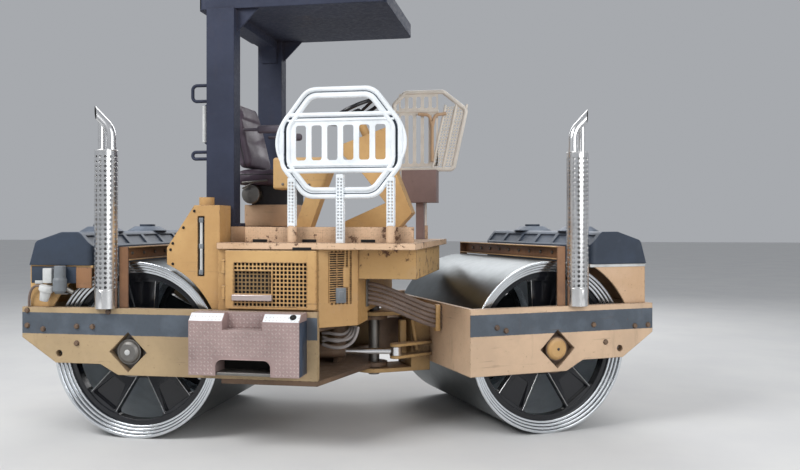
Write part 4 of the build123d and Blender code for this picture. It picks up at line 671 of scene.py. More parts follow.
class ROLLER_OT_drums(bpy.types.Operator):
    """Turn the stepped rims and draw the bright lines of the spoked wheels"""

    bl_idname = "roller.drums"
    bl_label = "Drums"

    def execute(self, context):
        drums = context.scene.roller_drums
        for end, (place, axle, _) in ENDS.items():
            middle = (axle, 0, 0)
            barrel = lathe(rim_profile(drums), middle, (0, 1, 0), 180, closed=True)
            make(f"{end}_drum_barrel", barrel, "polished_alloy", f"{end}_drum", place, [f"{end}_drum_shell"])
            bore_half = DRUM_HALF - drums.step_depth * RIM_STEPS - 2 * WHEEL_DEPTH
            reach = DRUM_R - SHELL_WALL - 0.002
            bore = lathe([(reach, bore_half), (reach, -bore_half)], middle, (0, 1, 0), 120)
            # Painted light: the bore's pale alloy lifts its shade
            make(f"{end}_drum_bore", bore, "painted_light_alloy", f"{end}_drum", place)
            tread_half = DRUM_HALF - TREAD_EDGE
            skin = DRUM_R + TREAD_SKIN
            tread = lathe([(skin, -tread_half), (skin, tread_half)], middle, (0, 1, 0), 180)
            make(f"{end}_drum_tread", tread, "tread_steel", f"{end}_drum", place)
            grooves, trims = [], []
            for hand in (-1, 1):
                for count in range(1, RIM_STEPS + 1):
                    ring = circle(DRUM_R - drums.lip - drums.tread_step * (count - 1) - 0.0015, 120)
                    groove = at_depth(ring, hand * (DRUM_HALF - drums.step_depth * count + 0.0005)) + middle
                    grooves.append(tube(groove, GROOVE_R, 6, closed=True))
                trims += [moved(line, lambda points: points + middle) for line in wheel_trim(drums, hand)]
            # Painted shade: the grooves are black rings in the inner creases of the rim's steps
            make(f"{end}_rim_grooves", join(*grooves), "black_and_shade", f"{end}_drum", place)
            make(f"{end}_spoke_trim", join(*trims), "chrome", f"{end}_drum", place)
            cap = rounded([(0.001, 0.030), (0.052, 0.030), (0.066, 0.018), (0.076, 0.002)], 0.006)
            for hand in (-1, 1):
                boss = lathe(cap[::-1], (axle, hand * HUB_CAP_FOOT, 0), (0, hand, 0), 40)
                size = 0.009 if end == "front" else 0.018
                stud = lathe([(size, 0.029), (size, 0.034), (size / 2, 0.036)],
                             (axle, hand * HUB_CAP_FOOT, 0), (0, hand, 0), 12, capped=True)
                side = "near" if hand < 0 else "far"
                finish = "yellow_paint" if end == "front" else "bare_steel"
                make(f"{end}_{side}_hub_cap", boss, finish, f"{end}_frame", place)
                make(f"{end}_{side}_hub_stud", stud, "dark_plastic" if end == "front" else "white_plastic",
                     f"{end}_frame", place)
        return {"FINISHED"}


# Exhaust stacks

class RollerStacks(bpy.types.PropertyGroup):
    """Perforated shields and bent pipes of the exhaust stacks."""

    shield: bpy.props.FloatProperty(name="Shield", description="Radius of the shield", unit="LENGTH",
                                    default=0.072)
    columns: bpy.props.IntProperty(name="Columns", description="Columns of holes round the shield",
                                   default=14)
    rows: bpy.props.IntProperty(name="Rows", description="Rows of holes up the shield", default=28)
    hole: bpy.props.FloatProperty(name="Hole", description="Radius of a hole", unit="LENGTH", default=0.0095)
    pipe: bpy.props.FloatProperty(name="Pipe", description="Radius of the main pipe", unit="LENGTH",
                                  default=0.030)
    thin_pipe: bpy.props.FloatProperty(name="Thin pipe", description="Radius of the second pipe",
                                       unit="LENGTH", default=0.021)


STACK_OUT = 0.153
STACK_Y = -0.793
STACK_SPREAD = 0.034
SHIELD_TOP = 1.284
SHIELD_WALL = 0.004
SHIELD_FOOT_BAND = 0.120
SHIELD_HEAD_BAND = 0.030
KNEE = 1.417
PIPE_BEND = 0.130
MOUTH_OUT = 0.075
MOUTH_TURN = math.radians(40)
PIPE_SIDES = 32


def cut_tube(path, radius, mouth, normal):
    """Tube whose last ring is slid along its own line onto the plane of a slanted mouth."""
    points, faces = tube(path, radius, PIPE_SIDES)
    ahead = unit(path[-1] - path[-2])
    ring = points[-PIPE_SIDES:]
    points[-PIPE_SIDES:] = ring + ahead * (((mouth - ring) @ normal) / (ahead @ normal))[:, None]
    return points, faces[:1]


class ROLLER_OT_stacks(bpy.types.Operator):
    """Roll the perforated shields and bend the pipes of both exhaust stacks"""

    bl_idname = "roller.stacks"
    bl_label = "Exhaust stacks"

    def execute(self, context):
        stacks = context.scene.roller_stacks
        for end, (place, axle, out) in ENDS.items():
            body = f"{end}_frame"
            foot = np.array((axle + out * STACK_OUT, STACK_Y, 0))
            low, high = YOKE_TOP + SHIELD_FOOT_BAND, SHIELD_TOP - SHIELD_HEAD_BAND
            pitch = (2 * np.pi * stacks.shield / stacks.columns, (high - low) / stacks.rows)
            sheet = pierced(circle(stacks.hole), pitch, stacks.columns, stacks.rows, SHIELD_WALL)

            def rolled(points):
                angle = points[:, 0] / stacks.shield
                radius = stacks.shield + points[:, 2]
                height = points[:, 1] + (low + high) / 2
                return np.column_stack([radius * np.cos(angle), radius * np.sin(angle), height]) + foot

            inner = stacks.shield - SHIELD_WALL
            bands = [lathe([(inner, b), (inner, a), (stacks.shield, a), (stacks.shield, b)], foot, sides=96)
                     for a, b in ((YOKE_TOP, low), (SHIELD_TOP, high))]
            bands[1] = (bands[1][0], [face[:, ::-1] for face in bands[1][1]])
            lip = at_depth(circle(stacks.shield - 0.002, 72), 0)[:, (0, 2, 1)] + foot
            lips = [tube(lip + (0, 0, height), 0.004, 10, closed=True)
                    for height in (SHIELD_TOP - 0.003, low - 0.004)]
            seam_x = stacks.shield + 0.001
            seam = rounded_box(foot + (-0.012, -seam_x - 0.002, YOKE_TOP),
                               foot + (0.012, -seam_x + 0.010, low - 0.010), 0.002)
            shield = join(moved(sheet, rolled), *bands, *lips, seam)
            make(f"{end}_perforated_shield", shield, "chrome", body, place, [f"{end}_stack_shield"],
                 merge=True)

            main, thin = foot - (out * STACK_SPREAD, 0, 0), foot + (out * STACK_SPREAD, 0, 0)
            run = MOUTH_OUT + STACK_SPREAD
            route = rounded([main + (0, 0, YOKE_TOP), main + (0, 0, KNEE), main + (out * run, 0, KNEE + run)],
                            PIPE_BEND, steps=14)
            mouth = foot + (out * MOUTH_OUT, 0, KNEE + STACK_SPREAD + MOUTH_OUT)
            normal = np.array((out * math.cos(MOUTH_TURN), -math.sin(MOUTH_TURN), 0))
            outer = cut_tube(route, stacks.pipe, mouth, normal)
            bore = cut_tube(route, stacks.pipe - 0.003, mouth, normal)
            rim = surface(np.stack([outer[0][-PIPE_SIDES:], bore[0][-PIPE_SIDES:]]))
            second = tube([thin + (0, 0, YOKE_TOP), thin + (0, 0, KNEE),
                           thin + (0, 0, KNEE + 2 * STACK_SPREAD)], stacks.thin_pipe, 24)
            heights = np.array([(0, 0, SHIELD_TOP - 0.012), (0, 0, SHIELD_TOP + 0.018)])
            collar = tube(route[[0]] * (1, 1, 0) + heights, stacks.pipe + 0.004, PIPE_SIDES)
            make(f"{end}_stack_pipes", join(outer, rim, second, collar), "chrome", body, place,
                 [f"{end}_exhaust_stack"])
            make(f"{end}_stack_bore", (bore[0], [face[:, ::-1] for face in bore[1]]), "black_and_shade", body, place)
        return {"FINISHED"}


# Railings

class RollerRailings(bpy.types.PropertyGroup):
    """Tubes, panels and posts of the two guard railings."""

    tube: bpy.props.FloatProperty(name="Tube", description="Radius of the near loops", unit="LENGTH",
                                  default=0.015)
    far_tube: bpy.props.FloatProperty(name="Far tube", description="Radius of the far loop", unit="LENGTH",
                                      default=0.022)
    slots: bpy.props.IntProperty(name="Slots", description="Slots in the near panel", default=6)
    sheet: bpy.props.FloatProperty(name="Sheet", description="Thickness of the panels", unit="LENGTH",
                                   default=0.010)


NEAR_X = (-0.428, 0.315)
NEAR_Z = (0.982, 1.642)
NEAR_PANEL = (1.140, 1.485)
NEAR_TOP_CUT = (0.165, 0.215)
NEAR_FOOT_CUT = (0.150, 0.190)
NEAR_BAND = 0.042
NEAR_GROOVE = 0.018
NEAR_END_IN = 0.036
NEAR_BULGE = 0.070
NEAR_LINE_R = 0.0028
PANEL_ROWS = 17
SLOT_PITCH = 0.100
SLOT_SIZE = (0.066, 0.215)
NEAR_POSTS = (-0.364, 0.258)
POST_R = 0.022
POST_HALF = 0.022
POST_HOLE = 0.0065
POST_PITCH = 0.020
POST_SHEET = 0.003
POST_EDGE = 0.0035
SOCKET_TOP = 0.797
FAR_POSTS = (0.085, 0.250)
FAR_LOOP = ((0.050, 1.242), (0.480, 1.242), (0.580, 1.702), (0.400, 1.848), (0.100, 1.848), (0.010, 1.757))
FAR_SLOT_X = 0.205
FAR_SLOT_PITCH = 0.062
FAR_BAND_MIDDLE = (0.452, 1.500)
FAR_BAND_REACH = 0.245
FAR_BAND_LEAN = math.radians(12)


def inset_cut(cut, gap):
    """Corner cut of a loop that lies a gap inside another one."""
    slant = math.hypot(*cut)
    return cut[0] - gap * (1 + (cut[0] - slant) / cut[1]), cut[1] - gap * (1 + (cut[1] - slant) / cut[0])


def near_loop(gap):
    """Line a gap inside the near railing's outer one: a rectangle with its corners cut off and rounded."""
    (left, right), (low, high) = [(first + gap, last - gap) for first, last in (NEAR_X, NEAR_Z)]
    top, foot = inset_cut(NEAR_TOP_CUT, gap), inset_cut(NEAR_FOOT_CUT, gap)
    corners = [
        (left + foot[0], low), (right - foot[0], low), (right, low + foot[1]), (right, high - top[1]),
        (right - top[0], high), (left + top[0], high), (left, high - top[1]), (left, low + foot[1]),
    ]
    return rounded(corners, 0.110 - 0.6 * gap, True, 10)


def bar(first, second, radius, sides=20):
    """Straight round bar between two places."""
    return tube(np.linspace(first, second, 3), radius, sides)


def standing(points, y):
    """Sheet drawn in x and z with its front to the right hand side, stood up at y."""
    return np.column_stack([points[:, 0], y - points[:, 2], points[:, 1]])


def panel_end(edge, way, bulge, low, high, inner, thick):
    """End of the panel: a strip from its straight inner side to an outer side that bows out by a parabola,
    folded round to the back."""
    height = np.linspace(low, high, PANEL_ROWS)
    bow = edge + way * bulge * (1 - ((height - (low + high) / 2) / ((high - low) / 2)) ** 2)
    sides = [(np.full(PANEL_ROWS, inner), 0), (bow, 0), (bow, -thick), (np.full(PANEL_ROWS, inner), -thick)]
    rows = [np.column_stack([x, height, np.full(PANEL_ROWS, depth)]) for x, depth in sides]
    return surface(np.stack(rows if way < 0 else rows[::-1]), wrap_columns=False)


class ROLLER_OT_railings(bpy.types.Operator):
    """Bend the railing loops, cut their slotted panels and set their posts"""

    bl_idname = "roller.railings"
    bl_label = "Railings"

    def execute(self, context):
        rails = context.scene.roller_railings
        self.near(rails)
        self.far(rails)
        return {"FINISHED"}

    def near(self, rails):
        """Two loops with a band between them, round a slotted panel with bowed ends."""
        y = -RAIL_Y
        outer, inner = near_loop(0.0), near_loop(NEAR_BAND)
        face = rails.sheet / 2
        # Painted shade: thin dark lines in the gap between the outer tube and the band, and along the panel's ends
        # and edges
        lines = [tube(at_depth(near_loop(NEAR_GROOVE), y - face), NEAR_LINE_R, 8, True)]
        parts = [tube(at_depth(outer, y), rails.tube, 16, True),
                 tube(at_depth(inner, y), rails.tube, 16, True)]
        band = [at_depth(outer, y - face), at_depth(inner, y - face), at_depth(inner, y + face),
                at_depth(outer, y + face)]
        parts.append(surface(np.stack(band), wrap_rows=True))
        middle, low, high = sum(NEAR_X) / 2, *NEAR_PANEL
        hole = rounded(rectangle(*[(-s / 2, s / 2) for s in SLOT_SIZE]), 0.016, True, 8)
        slots = pierced(hole, (SLOT_PITCH, high - low), rails.slots, 1, rails.sheet)
        centre = (middle, (low + high) / 2, 0)
        parts.append(moved(slots, lambda p: standing(p + centre, y - face)))
        for way, edge in ((-1, NEAR_X[0] + NEAR_END_IN), (1, NEAR_X[1] - NEAR_END_IN)):
            inner_edge = middle + way * SLOT_PITCH * rails.slots / 2
            end = panel_end(edge, way, NEAR_BULGE, low, high, inner_edge, rails.sheet)
            parts.append(moved(end, lambda p: standing(p, y - face)))
            height = np.linspace(low, high, PANEL_ROWS)
            share = 1 - ((height - (low + high) / 2) / ((high - low) / 2)) ** 2
            for lead, radius in ((0.0, 0.009), (-0.036, 0.0024)):
                curve = np.column_stack([edge + way * (lead + NEAR_BULGE * share), height])
                (parts if lead == 0 else lines).append(tube(at_depth(curve, y - face), radius, 10))
        for z, radius in ((low, rails.tube), (high, rails.tube), (low + 0.034, 0.007), (high - 0.034, 0.007)):
            depth = y if radius == rails.tube else y - face
            parts.append(bar((NEAR_X[0] + NEAR_END_IN, depth, z), (NEAR_X[1] - NEAR_END_IN, depth, z),
                             radius))
        for z in (low + 0.018, high - 0.018):
            lines.append(bar((NEAR_X[0] + NEAR_END_IN, y - face, z), (NEAR_X[1] - NEAR_END_IN, y - face, z),
                             NEAR_LINE_R, 8))
        for x in NEAR_POSTS:
            parts += self.perforated_post(x, y, SOCKET_TOP, 15)
        parts += self.perforated_post(middle, y, PLATFORM_TOP, 21)
        make("near_guard_railing", join(*parts), "white_metal", "rear_frame", replaces=["near_railing"],
             merge=True)
        # Dark lines that paint the shade in the railing's gaps
        make("near_railing_lines", join(*lines), "slate_plastic", "rear_frame")

    def perforated_post(self, x, y, foot, rows):
        """Square post of four perforated sides with rounded edges and a band at each end."""
        sheet = pierced(circle(POST_HOLE, 16), (POST_PITCH, POST_PITCH), 2, rows, POST_SHEET)
        top = foot + POST_PITCH * rows
        parts = []
        for turn in range(4):
            spin = turn * np.pi / 2

            def on_post(p):
                flat, out = p[:, 0], POST_HALF + p[:, 2]
                across = x + flat * np.cos(spin) + out * np.sin(spin)
                return np.column_stack([across, y + flat * np.sin(spin) - out * np.cos(spin),
                                        p[:, 1] + (foot + top) / 2])

            parts.append(moved(sheet, on_post))
        for corner in ((-1, -1), (1, -1), (1, 1), (-1, 1)):
            place = np.array((x, y, 0)) + 0.0205 * np.array((*corner, 0))
            parts.append(bar(place + (0, 0, foot), place + (0, 0, top - 0.004), POST_EDGE, 8))
        for z in (foot, top - 0.026):
            parts.append(rounded_box((x - 0.023, y - 0.023, z), (x + 0.023, y + 0.023, z + 0.022), 0.003))
        return parts

    def far(self, rails):
        """Leaning loop round two rows of slots, with a perforated band along its leaning front."""
        y = RAIL_Y
        loop = rounded(FAR_LOOP, 0.035, True, 10)
        parts = [tube(at_depth(loop, y), rails.far_tube * 0.8, 16, True)]
        for low, high in ((1.264, 1.695), (1.700, 1.838)):
            hole = rounded(rectangle((-0.018, 0.018), ((low - high) / 2 + 0.024, (high - low) / 2 - 0.024)),
                           0.014, True, 8)
            cells = pierced(hole, (FAR_SLOT_PITCH, high - low), 5, 1, rails.sheet)
            centre = (FAR_SLOT_X, (low + high) / 2, 0)
            parts.append(moved(cells, lambda p: standing(p + centre, y - rails.sheet / 2)))
        parts.append(bar((0.030, y, 1.698), (0.365, y, 1.698), 0.012))
        sheet = pierced(circle(0.0075, 16), (0.023, 0.023), 7, 20, rails.sheet)

        def leaning(p):
            lean = p[:, 1] * math.tan(FAR_BAND_LEAN)
            x, z = FAR_BAND_MIDDLE
            return standing(p + np.column_stack([x + lean, np.full(len(p), z), 0 * lean]),
                            y - rails.sheet / 2)

        parts.append(moved(sheet, leaning))
        for lead in (-0.084, 0.0, 0.084):
            x, z = FAR_BAND_MIDDLE
            ends = [(x + lead + reach * math.tan(FAR_BAND_LEAN), y - 0.006, z + reach)
                    for reach in (-FAR_BAND_REACH, FAR_BAND_REACH)]
            parts.append(bar(*ends, 0.010, 14))
        for x in FAR_POSTS:
            parts.append(bar((x, y, PLATFORM_TOP), (x, y, FAR_LOOP[0][1]), POST_R, 24))
        make("far_guard_railing", join(*parts), "tan_metal", "rear_frame", replaces=["far_railing"],
             merge=True)
        stem, fork = np.array((0.318, y - 0.030, 1.30)), np.array((0.318, y - 0.030, 1.62))
        brace = [bar(stem, fork, 0.013, 14)]
        for way in (-1, 1):
            arm = rounded([fork - (0, 0, 0.05), fork + (way * 0.02, 0, 0.045), fork + (way * 0.11, 0, 0.055)],
                          0.04)
            brace.append(tube(arm, 0.013, 14))
        make("far_railing_brace", join(*brace), "deck_paint", "rear_frame")


# Engine doors

class RollerGrilles(bpy.types.PropertyGroup):
    """Perforated doors and slotted corner panels of the engine bay."""

    columns: bpy.props.IntProperty(name="Columns", description="Columns of holes in a door", default=19)
    rows: bpy.props.IntProperty(name="Rows", description="Rows of holes in a door", default=11)
    hole: bpy.props.FloatProperty(name="Hole", description="Width of a hole", unit="LENGTH", default=0.0168)
    bars: bpy.props.IntProperty(name="Bars", description="Cross bars of a corner vent", default=22)


DOOR_X = (-0.776, -0.192)
DOOR_Z = (0.288, 0.650)
DOOR_FACE = 0.800
DOOR_THICK = 0.026
GRILLE_X = (-0.722, -0.250)
GRILLE_Z = (0.304, 0.577)
GRILLE_SET_IN = 0.005
POCKET_COLUMNS = 10
POCKET_ROWS = (3, 8)
POCKET_DEEP = 0.017
LEDGE = ((-0.728, -0.470), (0.340, 0.378))
HINGE_X = -0.790
HINGE_R = 0.013
KNUCKLES = (0.358, 0.520)
KNUCKLE_LENGTH = 0.060


def bordered(outer, inner, depth, edge):
    """Flat frame between two outlines of the same count: back edge, front edge, a small bevel, the face and
    the inner edge, as rows of one band."""
    inset = outer + (inner.mean(0) - outer) * edge
    rows = ((outer, -depth), (outer, -edge * 0.2), (inset, 0), (inner, 0), (inner, -depth))
    return surface(np.stack([np.column_stack([line, np.full(len(line), z)]) for line, z in rows]))


def pocket_span(grilles):
    """Ranges in x and z of the pocket in a door's grille, by whole cells of its holes."""
    (x0, x1), (z0, z1) = GRILLE_X, GRILLE_Z
    wide, high = (x1 - x0) / grilles.columns, (z1 - z0) / grilles.rows
    first, last = POCKET_ROWS
    return (x0, x0 + POCKET_COLUMNS * wide), (z0 + first * high, z0 + (last + 1) * high)


class ROLLER_OT_doors(bpy.types.Operator):
    """Perforate the engine doors and bar the corner vents"""

    bl_idname = "roller.doors"
    bl_label = "Engine doors"

    def execute(self, context):
        grilles = context.scene.roller_grilles
        pitch = ((GRILLE_X[1] - GRILLE_X[0]) / grilles.columns, (GRILLE_Z[1] - GRILLE_Z[0]) / grilles.rows)
        half = grilles.hole / 2
        hole = rounded(rectangle((-half, half), (-half, half)), 0.0035, True, 3)
        middle = np.array((sum(GRILLE_X) / 2, sum(GRILLE_Z) / 2, 0))
        pocket_x, pocket_z = pocket_span(grilles)

        def in_pocket(column, row):
            return (column < POCKET_COLUMNS) & (row >= POCKET_ROWS[0]) & (row <= POCKET_ROWS[1])

        face = pierced(hole, pitch, grilles.columns, grilles.rows, 0.003, lambda c, r: ~in_pocket(c, r))
        floor = pierced(hole, pitch, grilles.columns, grilles.rows, 0.003, in_pocket)
        opening = rounded(rectangle(GRILLE_X, GRILLE_Z), 0.002, True, 3)
        edge = rounded(rectangle(DOOR_X, DOOR_Z), 0.008, True, 3)
        well = [rectangle(pocket_x, pocket_z)] * 2
        well = np.stack([np.column_stack([line, np.full(4, z)])
                         for line, z in zip(well, (-GRILLE_SET_IN, -POCKET_DEEP))])
        parts = [
            bordered(edge, opening, DOOR_THICK, 0.012),
            moved(face, lambda p: p + middle - (0, 0, GRILLE_SET_IN)),
        ]
        sunk = [moved(floor, lambda p: p + middle - (0, 0, POCKET_DEEP)), surface(well)]
        for name, hand in (("near", -1), ("far", 1)):
            def hung(p):
                return np.column_stack([p[:, 0], hand * (DOOR_FACE + p[:, 2]), p[:, 1]])

            shapes, pocket = ([moved(part, hung) for part in group] for group in (parts, sunk))
            if hand > 0:
                shapes, pocket = ([(points, [quad[:, ::-1] for quad in faces]) for points, faces in group]
                                  for group in (shapes, pocket))
            # Painted shade: the pocket's floor and walls take a darkened ochre for the shade in the recess
            make(f"{name}_door_pocket", join(*pocket), "shade_paint", f"{name}_door", merge=True)
            knuckle_y = hand * (DOOR_FACE - HINGE_R)
            for z in KNUCKLES:
                shapes.append(bar((HINGE_X, knuckle_y, z), (HINGE_X, knuckle_y, z + KNUCKLE_LENGTH), HINGE_R))
                lows = (HINGE_X, knuckle_y - 0.004, z + 0.004)
                highs = (DOOR_X[0] + 0.03, knuckle_y + 0.004, z + KNUCKLE_LENGTH - 0.004)
                shapes.append(rounded_box(lows, highs, 0.002))
            make(f"{name}_perforated_door", join(*shapes), "yellow_paint", f"{name}_door",
                 replaces=[f"{name}_engine_door"], merge=True, sharp=12)
            (x0, x1), (z0, z1) = LEDGE
            low_y, high_y = sorted((hand * (DOOR_FACE - 0.008), hand * (DOOR_FACE + 0.020)))
            ledge = rounded_box((x0, low_y, z0), (x1, high_y, z1), 0.006)
            make(f"{name}_door_ledge", ledge, "tread_bright", f"{name}_door", merge=True)
        self.corner_vents(grilles)
        return {"FINISHED"}

    def corner_vents(self, grilles):
        """Thin bars across the upright slots of both chamfered corners."""
        run = np.array((BAY_FRONT - BAY_SQUARE_END, BAY_HALF - BAY_FRONT_HALF))
        along = run / np.hypot(*run)
        bars = []
        for hand in (-1, 1):
            middle = np.array(((BAY_FRONT + BAY_SQUARE_END) / 2, hand * (BAY_HALF + BAY_FRONT_HALF) / 2, 0))
            way = np.array((along[0], -hand * along[1], 0))
            outward = np.array((along[1], hand * along[0], 0))
            for z in np.linspace(0.325, 0.635, grilles.bars):
                ends = [middle + way * reach - outward * 0.006 + (0, 0, z) for reach in (-0.062, 0.102)]
                bars.append(bar(*ends, 0.0042, 8))
        make("corner_vent_bars", join(*bars), "yellow_paint", "rear_frame")


# Step box

class RollerTread(bpy.types.PropertyGroup):
    """Raised lozenges of the tread plate."""

    pitch: bpy.props.FloatProperty(name="Pitch", description="Distance between lozenges", unit="LENGTH",
                                   default=0.0225)
    length: bpy.props.FloatProperty(name="Length", description="Half length of a lozenge", unit="LENGTH",
                                    default=0.0110)
    width: bpy.props.FloatProperty(name="Width", description="Half width of a lozenge", unit="LENGTH",
                                   default=0.0036)
    rise: bpy.props.FloatProperty(name="Rise", description="Height of a lozenge", unit="LENGTH",
                                  default=0.0028)


STEP_X = (-0.945, -0.250)
STEP_FACE = -0.960
STEP_Z = (-0.098, 0.274)
STEP_BEVEL = 0.045
STEP_SLOT = ((-0.775, -0.425), 0.002)
STEP_NOTCH = ((-0.730, -0.480), 0.177)
STEP_NOTCH_DEEP = 0.090
STEP_SLOT_CORNER = 0.045


def lozenge(tread):
    """Low pointed form: a rhombus on the plate and a short ridge over its long diagonal."""
    base = [(-tread.length, 0, 0), (0, -tread.width, 0), (tread.length, 0, 0), (0, tread.width, 0)]
    ridge = [(-tread.length * 0.45, 0, tread.rise), (tread.length * 0.45, 0, tread.rise)]
    faces = [np.array([(0, 1, 4), (1, 2, 5), (2, 3, 5), (3, 0, 4)]), np.array([(1, 5, 4), (3, 4, 5)])]
    return np.array(base + ridge), faces


class ROLLER_OT_tread(bpy.types.Operator):
    """Raise the lozenges of the step box, line its edges and close its foot slot"""

    bl_idname = "roller.tread"
    bl_label = "Step box tread"

    def execute(self, context):
        tread = context.scene.roller_tread
        form = lozenge(tread)
        (slot_x, slot_top), (notch_x, notch_low) = STEP_SLOT, STEP_NOTCH
        margin = tread.length + 0.002

        def off(x, z, gap_x, gap_z):
            return ((x < gap_x[0] - margin) | (x > gap_x[1] + margin)
                    | (z < gap_z[0] - margin) | (z > gap_z[1] + margin))

        def field(first, second):
            axes = [np.arange(low + margin, high - margin / 2, tread.pitch) for low, high in (first, second)]
            u, v = np.meshgrid(*axes, indexing="ij")
            order = np.add.outer(np.arange(len(axes[0])), np.arange(len(axes[1]))) % 2
            return u.ravel(), v.ravel(), np.where(order.ravel() > 0, 1, -1) * np.pi / 4

        shapes = []
        x, z, turn = field(STEP_X, (STEP_Z[0], STEP_Z[1] - STEP_BEVEL))
        keep = off(x, z, slot_x, (-1, slot_top)) & off(x, z, notch_x, (notch_low, 1))
        shapes.append(stamped(form, np.column_stack([x, np.full(len(x), STEP_FACE), z])[keep], (0, -1, 0),
                              turn[keep]))
        lean = STEP_BEVEL * math.sqrt(2)
        x, s, turn = field(STEP_X, (0.0, lean))
        keep = off(x, 0 * s, notch_x, (-1, 1))
        slope = np.column_stack([x, STEP_FACE + s / math.sqrt(2), STEP_Z[1] - STEP_BEVEL + s / math.sqrt(2)])
        shapes.append(stamped(form, slope[keep], (0, -1, 1), turn[keep]))
        x, y, turn = field(STEP_X, (STEP_FACE + STEP_BEVEL, -YOKE_HALF))
        keep = off(x, y, notch_x, (-1, STEP_FACE + STEP_NOTCH_DEEP))
        shapes.append(stamped(form, np.column_stack([x, y, np.full(len(x), STEP_Z[1])])[keep], (0, 0, 1),
                              turn[keep]))
        x, z, turn = field(notch_x, (notch_low, STEP_Z[1]))
        back = np.full(len(x), STEP_FACE + STEP_NOTCH_DEEP)
        shapes.append(stamped(form, np.column_stack([x, back, z]), (0, -1, 0), turn))
        x, y, turn = field(notch_x, (STEP_FACE, STEP_FACE + STEP_NOTCH_DEEP))
        shapes.append(stamped(form, np.column_stack([x, y, np.full(len(x), notch_low)]), (0, 0, 1), turn))
        y, z, turn = field((STEP_FACE, -YOKE_HALF), (STEP_Z[0], STEP_Z[1] - STEP_BEVEL))
        shapes.append(stamped(form, np.column_stack([np.full(len(y), STEP_X[0]), y, z]), (-1, 0, 0), turn))
        make("step_tread", join(*shapes), "tread_bright", "rear_frame", sharp=20)
        self.bevels(notch_x)
        corner = STEP_SLOT_CORNER
        fillets = []
        for x, way in ((slot_x[0], 1), (slot_x[1], -1)):
            sweep = np.linspace(0, np.pi / 2, 9)
            arc = np.column_stack([x + way * corner * (1 - np.sin(sweep)),
                                   slot_top - corner * (1 - np.cos(sweep))])
            tip = np.broadcast_to((x, slot_top), arc.shape)
            rows = [at_depth(tip, STEP_FACE), at_depth(arc, STEP_FACE), at_depth(arc, STEP_FACE + 0.012),
                    at_depth(tip, STEP_FACE + 0.012)]
            fillets.append(surface(np.stack(rows if way < 0 else rows[::-1]), wrap_columns=False))
        lip = rounded([(slot_x[0], STEP_Z[0]), (slot_x[0], slot_top), (slot_x[1], slot_top),
                       (slot_x[1], STEP_Z[0])], corner)
        fillets.append(tube(at_depth(lip, STEP_FACE), 0.0035, 8))
        make("step_slot_corners", join(*fillets), "tread_plate", "rear_frame", merge=True)
        floor = rounded_box((slot_x[0] + 0.004, STEP_FACE + 0.006, STEP_Z[0] + 0.002),
                            (slot_x[1] - 0.004, -YOKE_HALF - 0.014, STEP_Z[0] + 0.020), 0.003)
        make("step_slot_floor", floor, "bare_steel", "rear_frame", merge=True)
        # Painted shade: a black plate closes the back of the foot slot as its shaded inside
        inside = rounded_box((slot_x[0] + 0.002, -YOKE_HALF - 0.016, STEP_Z[0] + 0.004),
                             (slot_x[1] - 0.002, -YOKE_HALF - 0.012, slot_top), 0.001)
        make("step_slot_back", inside, "black_and_shade", "rear_frame", merge=True)
        return {"FINISHED"}

    def bevels(self, notch_x):
        """Bright plates on the sloped top edges beside the notch, a dark filler hole and a dark end plate that
        paints the shade on the box's end face.
        """
        lean = STEP_BEVEL * math.sqrt(2)

        def on_slope(points):
            along, out, up = points.T
            y = STEP_FACE + (up - out) / math.sqrt(2)
            return rear(np.column_stack([along, y, STEP_Z[1] - STEP_BEVEL + (up + out) / math.sqrt(2)]))

        plates = [rounded_box((x0, -0.0012, 0.002), (x1, 0.0012, lean - 0.002), 0.0006)
                  for x0, x1 in ((STEP_X[0] + 0.003, notch_x[0] - 0.004),
                                 (notch_x[1] + 0.004, STEP_X[1] - 0.003))]
        plates = [(points * (1, -1, 1), [face[:, ::-1] for face in faces]) for points, faces in plates]
        make("step_bevel_plates", join(*plates), "white_metal", "rear_frame", on_slope, merge=True)
        hole = lathe([(0.020, 0), (0.020, 0.0045), (0.001, 0.0046)], (STEP_X[1] - 0.045, 0, lean * 0.6),
                     (0, 1, 0), 24)
        make("step_filler_hole", hole, "black_and_shade", "rear_frame", on_slope)
        # Painted shade: a dark slate plate over the step box's end face, which lies in shade
        end = rounded_box((STEP_X[1] - 0.001, STEP_FACE + 0.004, STEP_Z[0] + 0.003),
                          (STEP_X[1] + 0.0012, -YOKE_HALF - 0.004, STEP_Z[1] - STEP_BEVEL - 0.002), 0.0006)
        make("step_end_plate", end, "slate_plastic", "rear_frame", merge=True)


# Hoses over the hitch

class RollerHoses(bpy.types.PropertyGroup):
    """Hose bundle between the engine bay and the front frame."""

    radius: bpy.props.FloatProperty(name="Hose", description="Radius of a hose", unit="LENGTH",
                                    default=0.0135)
    count: bpy.props.IntProperty(name="Hoses", description="Hoses of the bundle", default=5)


HOSE_Y = -0.330
HOSE_START_Z = 0.422
HOSE_END = (0.370, -0.330, 0.242)
HOSE_PITCH = 0.031
HOSE_LEAD = 0.16
HOSE_SWAY = 0.006


def arched(start, lead, trail, end, count=36):
    """Cubic curve from start to end, pulled towards two guide places."""
    t = np.linspace(0, 1, count)[:, None]
    places = (start, lead, trail, end)
    weights = ((1 - t) ** 3, 3 * t * (1 - t) ** 2, 3 * t ** 2 * (1 - t), t ** 3)
    return sum(weight * np.asarray(place, float) for weight, place in zip(weights, places))


